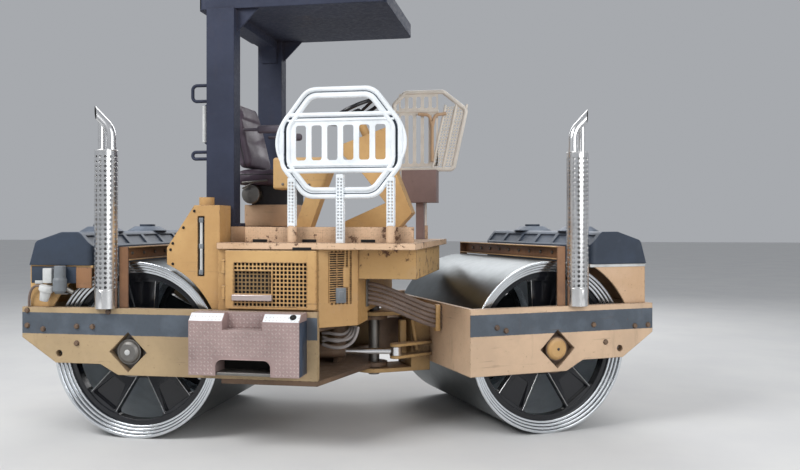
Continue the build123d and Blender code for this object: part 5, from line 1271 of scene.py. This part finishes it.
class ROLLER_OT_hoses(bpy.types.Operator):
    """Lead the hose bundle across the hitch and clamp its ends"""

    bl_idname = "roller.hoses"
    bl_label = "Hitch hoses"

    def execute(self, context):
        hoses = context.scene.roller_hoses
        end = front(HOSE_END) - HITCH
        toward = front((HOSE_END[0] - HOSE_LEAD, *HOSE_END[1:])) - HITCH
        bundle = []
        for lane in range(hoses.count):
            drop = np.array((0, 0, lane * HOSE_PITCH))
            start = np.array((BAY_FRONT - 0.01, HOSE_Y, HOSE_START_Z)) - drop
            sway = np.array((0, HOSE_SWAY * (lane % 2), 0))
            lead, trail = start + (HOSE_LEAD, 0, 0) + sway, toward - drop + (0, 0, 0.015) + sway
            route = arched(start, lead, trail, end - drop)
            bundle.append(tube(route, hoses.radius, 14))
        piece = make("hitch_hose_bundle", join(*bundle), "hose_rubber", None, replaces=["hitch_hoses"])
        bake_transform(piece)
        middle_z = HOSE_END[2] - HOSE_PITCH * (hoses.count - 1) / 2
        reach = HOSE_PITCH * hoses.count / 2 + 0.012
        clamp = rounded_box((HOSE_END[0] - 0.045, HOSE_END[1] - 0.022, middle_z - reach),
                            (HOSE_END[0] - 0.012, HOSE_END[1] + 0.022, middle_z + reach), 0.004)
        make("hose_clamp", clamp, "yellow_paint", "front_frame", front, merge=True)
        start_z = HOSE_START_Z - HOSE_PITCH * (hoses.count - 1) / 2
        gland = rounded_box((BAY_FRONT, HOSE_Y - 0.035, start_z - reach),
                            (BAY_FRONT + 0.012, HOSE_Y + 0.035, start_z + reach), 0.004)
        make("hose_gland", gland, "bare_steel", "rear_frame", merge=True)
        return {"FINISHED"}


# Seat and steering wheel

class RollerSeat(bpy.types.PropertyGroup):
    """Upholstery of the seat and rim of the steering wheel."""

    voxel: bpy.props.FloatProperty(name="Voxel", description="Mesh size of the pads", unit="LENGTH",
                                   default=0.006)
    pressure: bpy.props.FloatProperty(name="Pressure", description="Filling pressure of the pads",
                                      default=4.0)
    swell: bpy.props.FloatProperty(name="Swell", description="Most that a pad may swell", unit="LENGTH",
                                   default=0.010)
    frames: bpy.props.IntProperty(name="Frames", description="Steps of the cloth simulation", default=20)
    piping: bpy.props.FloatProperty(name="Piping", description="Radius of the seams' piping", unit="LENGTH",
                                    default=0.004)
    rim: bpy.props.FloatProperty(name="Rim", description="Radius of the wheel's grip", unit="LENGTH",
                                 default=0.014)


CUSHION_X = (-0.928, -0.472)
CUSHION_Z = (1.084, 1.186)
SEAT_HALF = 0.228
BACK_FOOT = (-0.8575, 0.0, 1.200)
BACK_TILT = math.radians(14)
BACK_SIZE = (0.088, 0.228, 0.478)
BACK_SEAMS = (0.17, 0.34)
ARM_X = (-0.900, -0.600)
ARM_PAD_REAR = -0.762
ARM_Z = (1.434, 1.490)
ARM_Y = (0.236, 0.280)
WHEEL_CENTRE = (-0.130, 0.0, 1.602)
WHEEL_TILT = math.radians(25)
WHEEL_R = 0.190
WHEEL_HUB_R = 0.042
SEAT_BOX = ((-0.884, -0.516), 0.184, (0.797, 0.948))


def baked(piece):
    """The piece's mesh replaced by what its modifiers make of it."""
    graph = bpy.context.evaluated_depsgraph_get()
    mesh = bpy.data.meshes.new_from_object(piece.evaluated_get(graph), depsgraph=graph)
    piece.modifiers.clear()
    piece.data = mesh


def places_of(mesh):
    """Places of a mesh's points."""
    places = np.empty(len(mesh.vertices) * 3)
    mesh.vertices.foreach_get("co", places)
    return places.reshape(-1, 3)


def upholstered(name, shape, place, sewn, seat, replaces):
    """Pad made by cloth simulation: the shape in an even mesh, blown up by pressure with its sewn points
    held, each point's way cut to the most that it may swell, and one subdivision."""
    piece = make(name, shape, "seat_vinyl", "rear_frame", place, replaces, merge=True)
    remesh = piece.modifiers.new("remesh", "REMESH")
    remesh.mode = "VOXEL"
    remesh.voxel_size = seat.voxel
    baked(piece)
    start = places_of(piece.data)
    held = piece.vertex_groups.new(name="sewn")
    held.add(np.flatnonzero(sewn(start)).tolist(), 1.0, "REPLACE")
    cloth = piece.modifiers.new("cloth", "CLOTH")
    cloth.settings.use_pressure = True
    cloth.settings.uniform_pressure_force = seat.pressure
    cloth.settings.effector_weights.gravity = 0.0
    cloth.settings.vertex_group_mass = "sewn"
    cloth.point_cache.frame_end = seat.frames
    scene = bpy.context.scene
    for count in range(1, seat.frames + 1):
        scene.frame_set(count)
    baked(piece)
    piece.vertex_groups.clear()
    scene.frame_set(1)
    way = places_of(piece.data) - start
    length = np.linalg.norm(way, axis=1, keepdims=True)
    way *= np.minimum(1, seat.swell / np.maximum(length, 1e-9))
    piece.data.vertices.foreach_set("co", (start + way).ravel())
    piece.data.shade_smooth()
    smooth = piece.modifiers.new("smooth", "SUBSURF")
    smooth.levels = smooth.render_levels = 1
    return piece


def outline_tube(half_x, half_y, z, radius, corner):
    """Round cord along a rounded rectangle that lies flat at a height."""
    line = rounded(rectangle((-half_x, half_x), (-half_y, half_y)), corner, True)
    return tube(np.column_stack([line, np.full(len(line), z)]), radius, 8, closed=True)


def reclined(points):
    """Places on the leaning back: its own x forward, y across and z up from its foot."""
    x, y, z = points.T
    cos, sin = math.cos(BACK_TILT), math.sin(BACK_TILT)
    return rear(np.column_stack([x * cos - z * sin, y, x * sin + z * cos]) + BACK_FOOT)


def wheel_plane(points):
    """Places on the tilted steering wheel, its axle as z."""
    x, y, z = points.T
    cos, sin = math.cos(WHEEL_TILT), math.sin(WHEEL_TILT)
    return rear(np.column_stack([x * cos - z * sin, y, x * sin + z * cos]) + WHEEL_CENTRE)


class ROLLER_OT_seat(bpy.types.Operator):
    """Upholster the seat, and turn the steering wheel"""

    bl_idname = "roller.seat"
    bl_label = "Seat and wheel"

    def execute(self, context):
        seat = context.scene.roller_seat
        self.cushion(seat)
        self.back(seat)
        arms = []
        for hand in (-1, 1):
            low, high = sorted((hand * ARM_Y[0], hand * ARM_Y[1]))
            arms.append(rounded_box((ARM_PAD_REAR, low, ARM_Z[0]), (ARM_X[1], high, ARM_Z[1]), 0.021, 6))
            arms.append(bar((ARM_X[0] + 0.04, (low + high) / 2, sum(ARM_Z) / 2),
                            (ARM_PAD_REAR + 0.02, (low + high) / 2, sum(ARM_Z) / 2), 0.012))
        make("seat_arms", join(*arms), "grey_vinyl_arm", "rear_frame", merge=True)
        drum = rounded([(0.001, -0.030), (0.066, -0.030), (0.066, 0.030), (0.020, 0.034), (0.001, 0.034)],
                       0.008)
        levers = [bar((-0.880, -0.236, 1.100), (-0.690, -0.262, 1.112), 0.007, 12),
                  bar((-0.880, -0.236, 1.060), (-0.800, -0.236, 1.100), 0.006, 12)]
        levers.append(lathe(drum[::-1], (-0.826, -0.190, 1.020), (0, -1, 0), 32))
        make("seat_levers", join(*levers), "bare_steel", "rear_frame")
        (x0, x1), half, (z0, z1) = SEAT_BOX
        box = rounded_box((x0, -half, z0), (x1, half, z1), 0.006)
        make("seat_box_panel", box, "deck_paint", "rear_frame", merge=True)
        parts = [outline_ring(WHEEL_R, seat.rim)]
        for turn in np.radians((90, 210, 330)):
            way = np.array((math.cos(turn), math.sin(turn), 0))
            parts.append(bar(way * 0.030 - (0, 0, 0.020), way * (WHEEL_R - 0.004), 0.011, 14))
        hub = rounded([(0.001, 0.014), (WHEEL_HUB_R, 0.012), (WHEEL_HUB_R, -0.058)], 0.008)
        parts.append(lathe(hub[::-1], (0, 0, 0), sides=40))
        make("steering_grip", join(*parts), "black_gloss", "rear_frame", wheel_plane, ["steering_wheel"])
        return {"FINISHED"}

    def cushion(self, seat):
        """Flat below, crowned above, with piping round its top and one seam across."""
        middle, top = sum(CUSHION_X) / 2, HITCH[2] + CUSHION_Z[1]
        half_x = (CUSHION_X[1] - CUSHION_X[0]) / 2
        shape = rounded_box((CUSHION_X[0], -SEAT_HALF, CUSHION_Z[0]), (CUSHION_X[1], SEAT_HALF, CUSHION_Z[1]),
                            0.032, 6)
        seam = HITCH[0] + middle - 0.06

        def sewn(p):
            across = (np.abs(p[:, 0] - seam) < seat.voxel) & (p[:, 2] > top - 0.02)
            return (p[:, 2] < HITCH[2] + CUSHION_Z[0] + 0.012) | across

        upholstered("seat_pad", shape, rear, sewn, seat, ["seat_cushion"])
        cord = outline_tube(half_x - 0.003, SEAT_HALF - 0.003, CUSHION_Z[1] - 0.030, seat.piping, 0.030)
        make("seat_pad_piping", moved(cord, lambda p: p + (middle, 0, 0)), "dark_plastic", "rear_frame")

    def back(self, seat):
        """Tall leaning pad with two sewn lines across it and piping round its edge."""
        depth, half, height = BACK_SIZE
        shape = rounded_box((-depth / 2, -half, 0.006), (depth / 2, half, height), 0.036, 6)

        def sewn(p):
            local = p - HITCH - BACK_FOOT
            cos, sin = math.cos(BACK_TILT), math.sin(BACK_TILT)
            along, out = local[:, 2] * cos - local[:, 0] * sin, local[:, 0] * cos + local[:, 2] * sin
            near = np.min([np.abs(along - line) for line in BACK_SEAMS], axis=0)
            return (near < seat.voxel) & (np.abs(local[:, 1]) < half - 0.03) & (out > 0) | (along < 0.02)

        upholstered("seat_back_pad", shape, reclined, sewn, seat, ["seat_back"])
        cord = outline_tube(half - 0.002, height / 2 - 0.005, 0, seat.piping, 0.036)
        upright = moved(cord, lambda p: np.column_stack([p[:, 2], p[:, 0], p[:, 1] + height / 2 + 0.003]))
        make("seat_back_piping", upright, "dark_plastic", "rear_frame", reclined)


def outline_ring(radius, thick):
    """Ring of round section that lies flat."""
    line = circle(radius, 72)
    return tube(np.column_stack([line, np.zeros(len(line))]), thick, 16, closed=True)


# Small fittings

class RollerFittings(bpy.types.PropertyGroup):
    """Bolts, trim and the pump set."""

    bolt: bpy.props.FloatProperty(name="Bolt", description="Half width of a large bolt head", unit="LENGTH",
                                  default=0.016)
    screw: bpy.props.FloatProperty(name="Screw", description="Half width of a small screw", unit="LENGTH",
                                   default=0.008)


# Places in x and z: bolts on both sides of each yoke and of the side tanks
YOKE_BOLTS = {
    "rear": [(-2.129, 0.156), (-2.016, 0.135), (-1.779, 0.157), (-1.669, 0.157), (-1.779, 0.049),
             (-2.129, 0.254), (-1.560, 0.254)],
    "front": [(0.555, 0.157), (0.618, 0.136), (1.266, 0.147), (1.591, 0.126), (1.697, 0.129), (1.359, 0.028)],
}
SIDE_TANK_Y = 0.740
SIDE_TANK_BOLTS = [(-1.005, 0.895), (-1.078, 0.790), (-1.150, 0.690), (-1.165, 0.650), (-1.150, 0.560)]
GAUGE_X = -0.960
GAUGE_Z = (0.483, 0.863)
CHANNEL_TOP = 0.667
CHANNEL_MOUTH = 0.017
CHANNEL_WEB = 0.067
CHANNEL_HALF = 0.76
CHANNEL_LIP_R = 0.0045
CHANNEL_BOLTS = 9
CHANNEL_BOLT_REACH = 0.62
CHANNEL_BOLT_DROP = 0.044
TOE_BOARD_Y = -0.680
TOE_BOARD_X = (-0.690, 0.390)
TOE_BOARD_TOP = 0.795
PLATFORM_HALF = 0.790
GRAB_BAR = (-1.042, -0.490)
GRAB_SLEEVE_Z = (1.352, 1.594)
GRAB_SLEEVE_R = 0.0165
CONSOLE_FACE = -0.445
CONSOLE_SCREWS = [(-0.340, 1.070), (-0.520, 1.075), (-0.520, 1.215), (-0.300, 1.215)]
# Each hose in the side opening: the height where it starts and the rise of its first bend
BAY_HOSES = ((0.110, 0.02), (0.085, -0.03), (0.060, 0.04), (0.036, -0.02))
BAY_HOSE_R = 0.011
CHAMFER_WAY = unit(np.array((BAY_FRONT - BAY_SQUARE_END, BAY_HALF - BAY_FRONT_HALF, 0)))
CHAMFER_MIDDLE = np.array(((BAY_FRONT + BAY_SQUARE_END) / 2, -(BAY_HALF + BAY_FRONT_HALF) / 2, 0))


def on_chamfer(points):
    """Places drawn along the near chamfer, into it and up, set on its face."""
    inward = np.array((-CHAMFER_WAY[1], CHAMFER_WAY[0], 0))
    return rear(CHAMFER_MIDDLE + points[:, :1] * CHAMFER_WAY + points[:, 1:2] * inward
                + points[:, 2:] * (0, 0, 1))


class ROLLER_OT_fittings(bpy.types.Operator):
    """Set bolts, trim lines, latches, the pump set and the pieces round the hitch"""

    bl_idname = "roller.fittings"
    bl_label = "Small fittings"

    def execute(self, context):
        fit = context.scene.roller_fittings
        self.bolts(fit)
        self.tanks(fit)
        self.bay()
        self.deck(fit)
        self.hitch()
        return {"FINISHED"}

    def bolts(self, fit):
        """Bolt heads on the yokes' plates, in the paint they were sprayed with."""
        for end, (place, _, _) in ENDS.items():
            spots = np.array(YOKE_BOLTS[end])
            heads = []
            for hand in (-1, 1):
                places = np.column_stack([spots[:, 0], np.full(len(spots), hand * YOKE_HALF), spots[:, 1]])
                heads.append(stamped(bolt_head(fit.bolt), places, (0, hand, 0), np.arange(len(spots)) * 0.7))
            make(f"{end}_yoke_bolts", join(*heads), "grimy_and_shade_paint", f"{end}_frame", place)

    def tanks(self, fit):
        """Trim under the front tank, the channels' lips and bolts, the pump set on the rear carrier, and the
        side tanks' sight gauges and screws."""
        for end, (place, axle, out) in ENDS.items():
            web, mouth = axle + out * CHANNEL_WEB, axle + out * CHANNEL_MOUTH
            rows = np.linspace(-CHANNEL_BOLT_REACH, CHANNEL_BOLT_REACH, CHANNEL_BOLTS)
            spots = [(web, y, CHANNEL_TOP - CHANNEL_BOLT_DROP) for y in rows]
            heads = stamped(bolt_head(fit.screw * 1.3), spots, (-out, 0, 0))
            make(f"{end}_channel_bolts", heads, "bare_steel", f"{end}_frame", place)
            lips = [bar((mouth, -CHANNEL_HALF, z), (mouth, CHANNEL_HALF, z), CHANNEL_LIP_R, 10)
                    for z in (CHANNEL_TOP - 0.004, CHANNEL_TOP - 0.083)]
            make(f"{end}_channel_lip", join(*lips), "yellow_paint", f"{end}_frame", place)
        place, axle, _ = ENDS["front"]
        trim = [rounded_box((axle + TANK_INNER, y - 0.006, TANK_LOW - 0.022),
                            (axle + TANK_END, y + 0.006, TANK_LOW - 0.002), 0.003)
                for y in (-CARRIER_HALF, CARRIER_HALF)]
        make("front_tank_trim", join(*trim), "white_plastic", "front_frame", place, merge=True)
        self.pump_set()
        spots = np.array(SIDE_TANK_BOLTS)
        heads = []
        for hand in (-1, 1):
            places = np.column_stack([spots[:, 0], np.full(len(spots), hand * SIDE_TANK_Y), spots[:, 1]])
            heads.append(stamped(bolt_head(fit.screw), places, (0, hand, 0)))
        make("side_tank_screws", join(*heads), "black_and_shade", "rear_frame")
        for side, hand in (("near", -1), ("far", 1)):
            low, high = sorted((hand * (SIDE_TANK_Y - 0.011), hand * (SIDE_TANK_Y - 0.006)))
            slot = rounded_box((GAUGE_X - 0.020, low, GAUGE_Z[0] + 0.003),
                               (GAUGE_X + 0.020, high, GAUGE_Z[1] - 0.003), 0.002)
            make(f"{side}_gauge_bed", slot, "black_and_shade", "rear_frame", merge=True)
            reach = hand * (SIDE_TANK_Y - 0.006)
            glass = bar((GAUGE_X, reach, GAUGE_Z[0] + 0.030), (GAUGE_X, reach, GAUGE_Z[1] - 0.030), 0.009)
            ends = [rounded_box((GAUGE_X - 0.014, min(reach, reach + hand * 0.010), z - 0.016),
                                (GAUGE_X + 0.014, max(reach, reach + hand * 0.010), z + 0.016), 0.004)
                    for z in (GAUGE_Z[0] + 0.026, sum(GAUGE_Z) / 2, GAUGE_Z[1] - 0.026)]
            make(f"{side}_gauge_glass", glass, "white_plastic", "rear_frame")
            make(f"{side}_gauge_ends", join(*ends), "grey_plastic", "rear_frame", merge=True)

    def pump_set(self):
        """Spray pump on the rear carrier's near side: dark inset, white box, canister, nozzle and hose."""
        y = -CARRIER_HALF
        inset = rounded_box((-2.118, y - 0.003, 0.430), (-1.800, y + 0.006, 0.538), 0.002)
        make("pump_inset", inset, "slate_plastic", "rear_frame", merge=True)
        arc = rounded_box((-1.800, y - 0.004, 0.400), (-1.690, y + 0.006, 0.534), 0.002)
        make("pump_guard", arc, "rusty_channel", "rear_frame", merge=True)
        box = rounded_box((-2.015, y - 0.040, 0.431), (-1.951, y, 0.528), 0.005)
        tab = rounded_box((-2.090, y - 0.008, 0.424), (-2.036, y - 0.002, 0.446), 0.002)
        make("pump_box", join(box, tab), "white_plastic", "rear_frame", merge=True)
        turned = rounded([(0.001, 0.545), (0.036, 0.545), (0.036, 0.470), (0.043, 0.455), (0.043, 0.385),
                          (0.030, 0.372), (0.001, 0.372)], 0.005)
        canister = lathe(turned[::-1], (-1.888, y - 0.044, 0), sides=32)
        make("pump_canister", canister, "grey_plastic", "rear_frame")
        bracket = rounded_box((-1.935, y - 0.030, 0.360), (-1.842, y, 0.372), 0.003)
        valve = bar((-1.845, y - 0.030, 0.395), (-1.800, y - 0.030, 0.372), 0.014)
        make("pump_bracket", join(bracket, valve), "bare_steel", "rear_frame", merge=True)
        bell = rounded([(0.001, 0), (0.026, 0), (0.034, 0.055), (0.046, 0.070), (0.046, 0.100),
                        (0.001, 0.105)], 0.006)
        nozzle = lathe(bell[::-1], (-2.000, y - 0.048, 0.318), (0.25, 0, 1), 32)
        make("pump_nozzle", nozzle, "white_plastic", "rear_frame")
        hose = arched((-2.122, y - 0.020, YOKE_TOP), (-2.128, y - 0.024, 0.420), (-2.060, y - 0.030, 0.430),
                      (-2.006, y - 0.036, 0.400))
        make("pump_hose", tube(hose, 0.008, 12), "hose_rubber", "rear_frame")

    def bay(self):
        """Dark plates behind the grilles as painted shade for the bay's inside, the pockets' rims, and the grille,
        latch and strap on the chamfer.
        """
        (x0, x1), (z0, z1) = GRILLE_X, GRILLE_Z
        pocket_x, pocket_z = pocket_span(bpy.context.scene.roller_grilles)
        for side, hand in (("near", -1), ("far", 1)):
            # Painted shade: a black plate behind each door's grille shows as the shaded inside of the bay
            low, high = sorted((hand * (DOOR_FACE - 0.0250), hand * (DOOR_FACE - 0.0215)))
            back = rounded_box((x0 - 0.004, low, z0 - 0.004), (x1 + 0.004, high, z1 + 0.004), 0.001)
            make(f"{side}_grille_back", back, "black_and_shade", f"{side}_door", merge=True)
            line = rounded(rectangle(pocket_x, pocket_z), 0.004, True, 3)
            rim = tube(at_depth(line, hand * (DOOR_FACE - 0.004)), 0.0060, 8, closed=True)
            frame_line = rounded(rectangle((x0, x1), (z0, z1)), 0.004, True, 3)
            edge = tube(at_depth(frame_line, hand * (DOOR_FACE - 0.001)), 0.003, 8, closed=True)
            make(f"{side}_grille_rims", join(rim, edge), "yellow_paint", f"{side}_door")
        # Painted shade: black plates behind the chamfer's grille and vent slots
        bed = rounded_box((-0.066, -0.0015, 0.328), (0.040, 0.003, 0.636), 0.001)
        make("corner_grille_bed", bed, "black_and_shade", "rear_frame", on_chamfer, merge=True)
        lines = [bar((-0.066, -0.002, z), (0.040, -0.002, z), 0.0038, 8)
                 for z in np.linspace(0.332, 0.632, 22)]
        lines += [bar((x, -0.003, 0.326), (x, -0.003, 0.638), 0.0035, 8) for x in (-0.066, -0.013, 0.040)]
        make("corner_grille", join(*lines), "yellow_paint", "rear_frame", on_chamfer)
        plates = rounded_box((-0.072, 0.014, 0.318), (0.112, 0.022, 0.642), 0.002)
        make("corner_vent_back", plates, "black_and_shade", "rear_frame", on_chamfer, merge=True)
        latch = rounded_box((-0.022, -0.014, 0.322), (0.048, 0.004, 0.418), 0.006)
        button = rounded_box((-0.004, -0.018, 0.350), (0.030, -0.011, 0.395), 0.003)
        make("corner_latch", join(latch, button), "grey_plastic", "rear_frame", on_chamfer, merge=True)
        strap = rounded_box((0.030, -0.007, 0.418), (0.074, 0.002, 0.545), 0.003)
        make("corner_strap", strap, "yellow_paint", "rear_frame", on_chamfer, merge=True)

    def deck(self, fit):
        """Raised grain of the toe board, dark scuppers under it painted as shade in their openings, screws on the
        console, a notch in the platform's edge painted as a dark box of shade and the white sleeve of the grab
        bar."""
        x, z = np.meshgrid(np.arange(TOE_BOARD_X[0] + 0.01, TOE_BOARD_X[1] - 0.008, 0.0115),
                           np.arange(PLATFORM_TOP + 0.012, TOE_BOARD_TOP - 0.006, 0.0105), indexing="ij")
        order = np.add.outer(np.arange(x.shape[0]), np.arange(x.shape[1])).ravel() % 2
        spots = np.column_stack([x.ravel(), np.full(x.size, TOE_BOARD_Y), z.ravel()])
        form, faces = lozenge(bpy.context.scene.roller_tread)
        grain = stamped((form * 0.5, faces), spots, (0, -1, 0), np.where(order > 0, 1, -1) * np.pi / 4)
        make("toe_board_grain", grain, "deck_paint", "rear_frame", sharp=20)
        # Painted shade: flat black boxes stand for the shaded openings of the scuppers
        slots = [rounded_box((x0, TOE_BOARD_Y - 0.003, PLATFORM_TOP + 0.002),
                             (x1, TOE_BOARD_Y + 0.004, PLATFORM_TOP + 0.020), 0.002)
                 for x0, x1 in ((-0.640, -0.545), (-0.315, -0.225), (0.060, 0.150))]
        make("toe_board_scuppers", join(*slots), "black_and_shade", "rear_frame", merge=True)
        spots = [(x, CONSOLE_FACE, z) for x, z in CONSOLE_SCREWS]
        screws = stamped(bolt_head(fit.screw), spots, (0, -1, 0))
        make("console_screws", screws, "bare_steel", "rear_frame")
        # Painted shade: a flat black box stands for the shaded notch in the platform's edge
        notch = rounded_box((-0.345, -PLATFORM_HALF - 0.002, 0.653), (-0.225, -PLATFORM_HALF + 0.004, 0.670),
                            0.002)
        make("platform_notch", notch, "black_and_shade", "rear_frame", merge=True)
        x, y = GRAB_BAR
        grab = bar((x, y, GRAB_SLEEVE_Z[0]), (x, y, GRAB_SLEEVE_Z[1]), GRAB_SLEEVE_R)
        make("grab_bar_sleeve", grab, "white_plastic", "rear_frame")

    def hitch(self):
        """Hoses in the side opening, a dark plate beside the hitch that paints the shade of the gap there, and the
        braces of the neck.
        """
        lines = []
        for lane, (rise, way) in enumerate(BAY_HOSES):
            route = arched((-0.232, -0.500, rise), (-0.15, -0.54, rise + way),
                           (-0.07 + 0.02 * lane, -0.54, rise - 0.04),
                           (-0.06 + 0.02 * lane, -0.44 - 0.02 * lane, 0.155))
            lines.append(tube(route, BAY_HOSE_R, 12))
        make("bay_hoses", join(*lines), "pale_hose", "rear_frame")
        # Painted shade: a dark plate and apron stand in the gap beside the hitch, which lies in shade
        guard = rounded_box((-0.010, 0.060, -0.090), (0.236, 0.072, 0.145), 0.003)
        shade_apron = rounded_box((0.140, 0.060, -0.128), (0.236, 0.072, -0.086), 0.003)
        make("hitch_shade_plate", join(guard, shade_apron), "grimy_and_shade_paint", "front_frame", front, merge=True)
        post = rounded_box((0.150, -0.128, -0.088), (0.196, -0.084, 0.148), 0.006)
        brace = bar((0.232, -0.150, 0.150), (0.262, -0.150, -0.060), 0.014, 12)
        make("neck_braces", join(post, brace), "neck_paint", "front_frame", front, merge=True)


# Stage

# In pixels: width of the photo, fitted focal length and drop of the photo's centre under the horizon
PHOTO_WIDTH = 800
FOCAL_PIXELS = 805.2
HORIZON_PIXELS = 10.5


class RollerStage(bpy.types.PropertyGroup):
    """Camera and light of the studio."""

    camera_place: bpy.props.FloatVectorProperty(
        name="Camera place", description="Eye point from the ground under the hitch", subtype="XYZ",
        unit="LENGTH", default=(1.151, -5.531, 1.380))
    camera_turn: bpy.props.FloatProperty(
        name="Camera turn", description="Turn to the left of the machine's width", subtype="ANGLE",
        default=math.radians(9.9))
    focal_share: bpy.props.FloatProperty(
        name="Focal share", description="Focal length over the image width",
        default=FOCAL_PIXELS / PHOTO_WIDTH)
    horizon_drop: bpy.props.FloatProperty(
        name="Horizon drop", description="How far the image centre lies under the horizon, over its width",
        default=HORIZON_PIXELS / PHOTO_WIDTH)
    floor_reach: bpy.props.FloatProperty(
        name="Floor", description="Half width of the floor", unit="LENGTH", default=60.0)
    sky: bpy.props.FloatProperty(name="Sky", description="Strength of the even light", default=0.46)


# Each lamp: its place, size and power
LAMPS = {
    "key_light": ((-5.0, -6.0, 7.5), 4.0, 660.0),
    "fill_light": ((6.0, -6.0, 4.0), 5.0, 300.0),
    "back_light": ((0.0, 6.0, 6.0), 6.0, 300.0),
}


class ROLLER_OT_stage(bpy.types.Operator):
    """Set a pale floor, soft lights and the camera"""

    bl_idname = "roller.stage"
    bl_label = "Studio stage"

    def execute(self, context):
        scene = context.scene
        stage = scene.roller_stage
        lens = bpy.data.cameras.new("camera")
        camera = bpy.data.objects.new("camera", lens)
        scene.collection.objects.link(camera)
        lens.sensor_width = 36.0
        lens.lens = lens.sensor_width * stage.focal_share
        lens.shift_y = -stage.horizon_drop
        lens.clip_end = 200.0
        camera.location = Vector(HITCH * (1, 1, 0)) + Vector(stage.camera_place)
        camera.rotation_euler = (math.pi / 2, 0, stage.camera_turn)
        scene.camera = camera
        tree, shader = new_finish("pale_floor")
        where = add(tree, "TexCoord").outputs["Object"]
        tone = mix(tree, ramp(tree, noise(tree, where, 1.2, 6.0), 0.3, 0.7), (0.70, 0.70, 0.69),
                   (0.66, 0.66, 0.66))
        tree.links.new(tone, shader.inputs["Base Color"])
        shader.inputs["Roughness"].default_value = 0.8
        reach = stage.floor_reach
        corners = np.column_stack([rectangle((-reach, reach), (-reach, reach)), np.zeros(4)])
        floor = make("floor", (corners, [np.array([[0, 1, 2, 3]])]), "pale_floor", None, place=np.asarray)
        scene.view_settings.view_transform = "Standard"
        world = bpy.data.worlds.new("studio")
        scene.world = world
        world.use_nodes = True
        sky = world.node_tree.nodes["Background"]
        sky.inputs[0].default_value = (0.84, 0.87, 0.92, 1)
        sky.inputs[1].default_value = stage.sky
        for name, (place, size, power) in LAMPS.items():
            lamp = bpy.data.lights.new(name, "AREA")
            lamp.size = size
            lamp.energy = power
            holder = bpy.data.objects.new(name, lamp)
            scene.collection.objects.link(holder)
            holder.location = place
            holder.rotation_euler = (Vector((0, 0, 1)) - Vector(place)).to_track_quat("-Z", "Y").to_euler()
        return {"FINISHED"}


class ROLLER_PT_sidebar(bpy.types.Panel):
    """Buttons for the roller's looks"""

    bl_idname = "ROLLER_PT_sidebar"
    bl_label = "Road roller"
    bl_space_type = "VIEW_3D"
    bl_region_type = "UI"
    bl_category = "Roller"

    def draw(self, context):
        for operator in OPERATORS:
            self.layout.operator(operator.bl_idname)


GROUPS = {
    "roller_colours": RollerColours,
    "roller_drums": RollerDrums,
    "roller_stacks": RollerStacks,
    "roller_railings": RollerRailings,
    "roller_grilles": RollerGrilles,
    "roller_tread": RollerTread,
    "roller_hoses": RollerHoses,
    "roller_seat": RollerSeat,
    "roller_fittings": RollerFittings,
    "roller_stage": RollerStage,
}
OPERATORS = (
    ROLLER_OT_finishes, ROLLER_OT_drums, ROLLER_OT_stacks, ROLLER_OT_railings, ROLLER_OT_doors,
    ROLLER_OT_tread, ROLLER_OT_hoses, ROLLER_OT_seat, ROLLER_OT_fittings, ROLLER_OT_stage,
)


def register():
    for group in GROUPS.values():
        bpy.utils.register_class(group)
    for name, group in GROUPS.items():
        setattr(bpy.types.Scene, name, bpy.props.PointerProperty(type=group))
    for operator in OPERATORS:
        bpy.utils.register_class(operator)
    bpy.utils.register_class(ROLLER_PT_sidebar)


def unregister():
    bpy.utils.unregister_class(ROLLER_PT_sidebar)
    for operator in reversed(OPERATORS):
        bpy.utils.unregister_class(operator)
    for name, group in GROUPS.items():
        delattr(bpy.types.Scene, name)
        bpy.utils.unregister_class(group)


def main():
    register()
    bpy.ops.roller.finishes()
    bpy.ops.roller.drums()
    bpy.ops.roller.stacks()
    bpy.ops.roller.railings()
    bpy.ops.roller.doors()
    bpy.ops.roller.tread()
    bpy.ops.roller.hoses()
    bpy.ops.roller.seat()
    bpy.ops.roller.fittings()
    bpy.ops.roller.stage()
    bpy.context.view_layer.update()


if __name__ == "__main__":
    main()
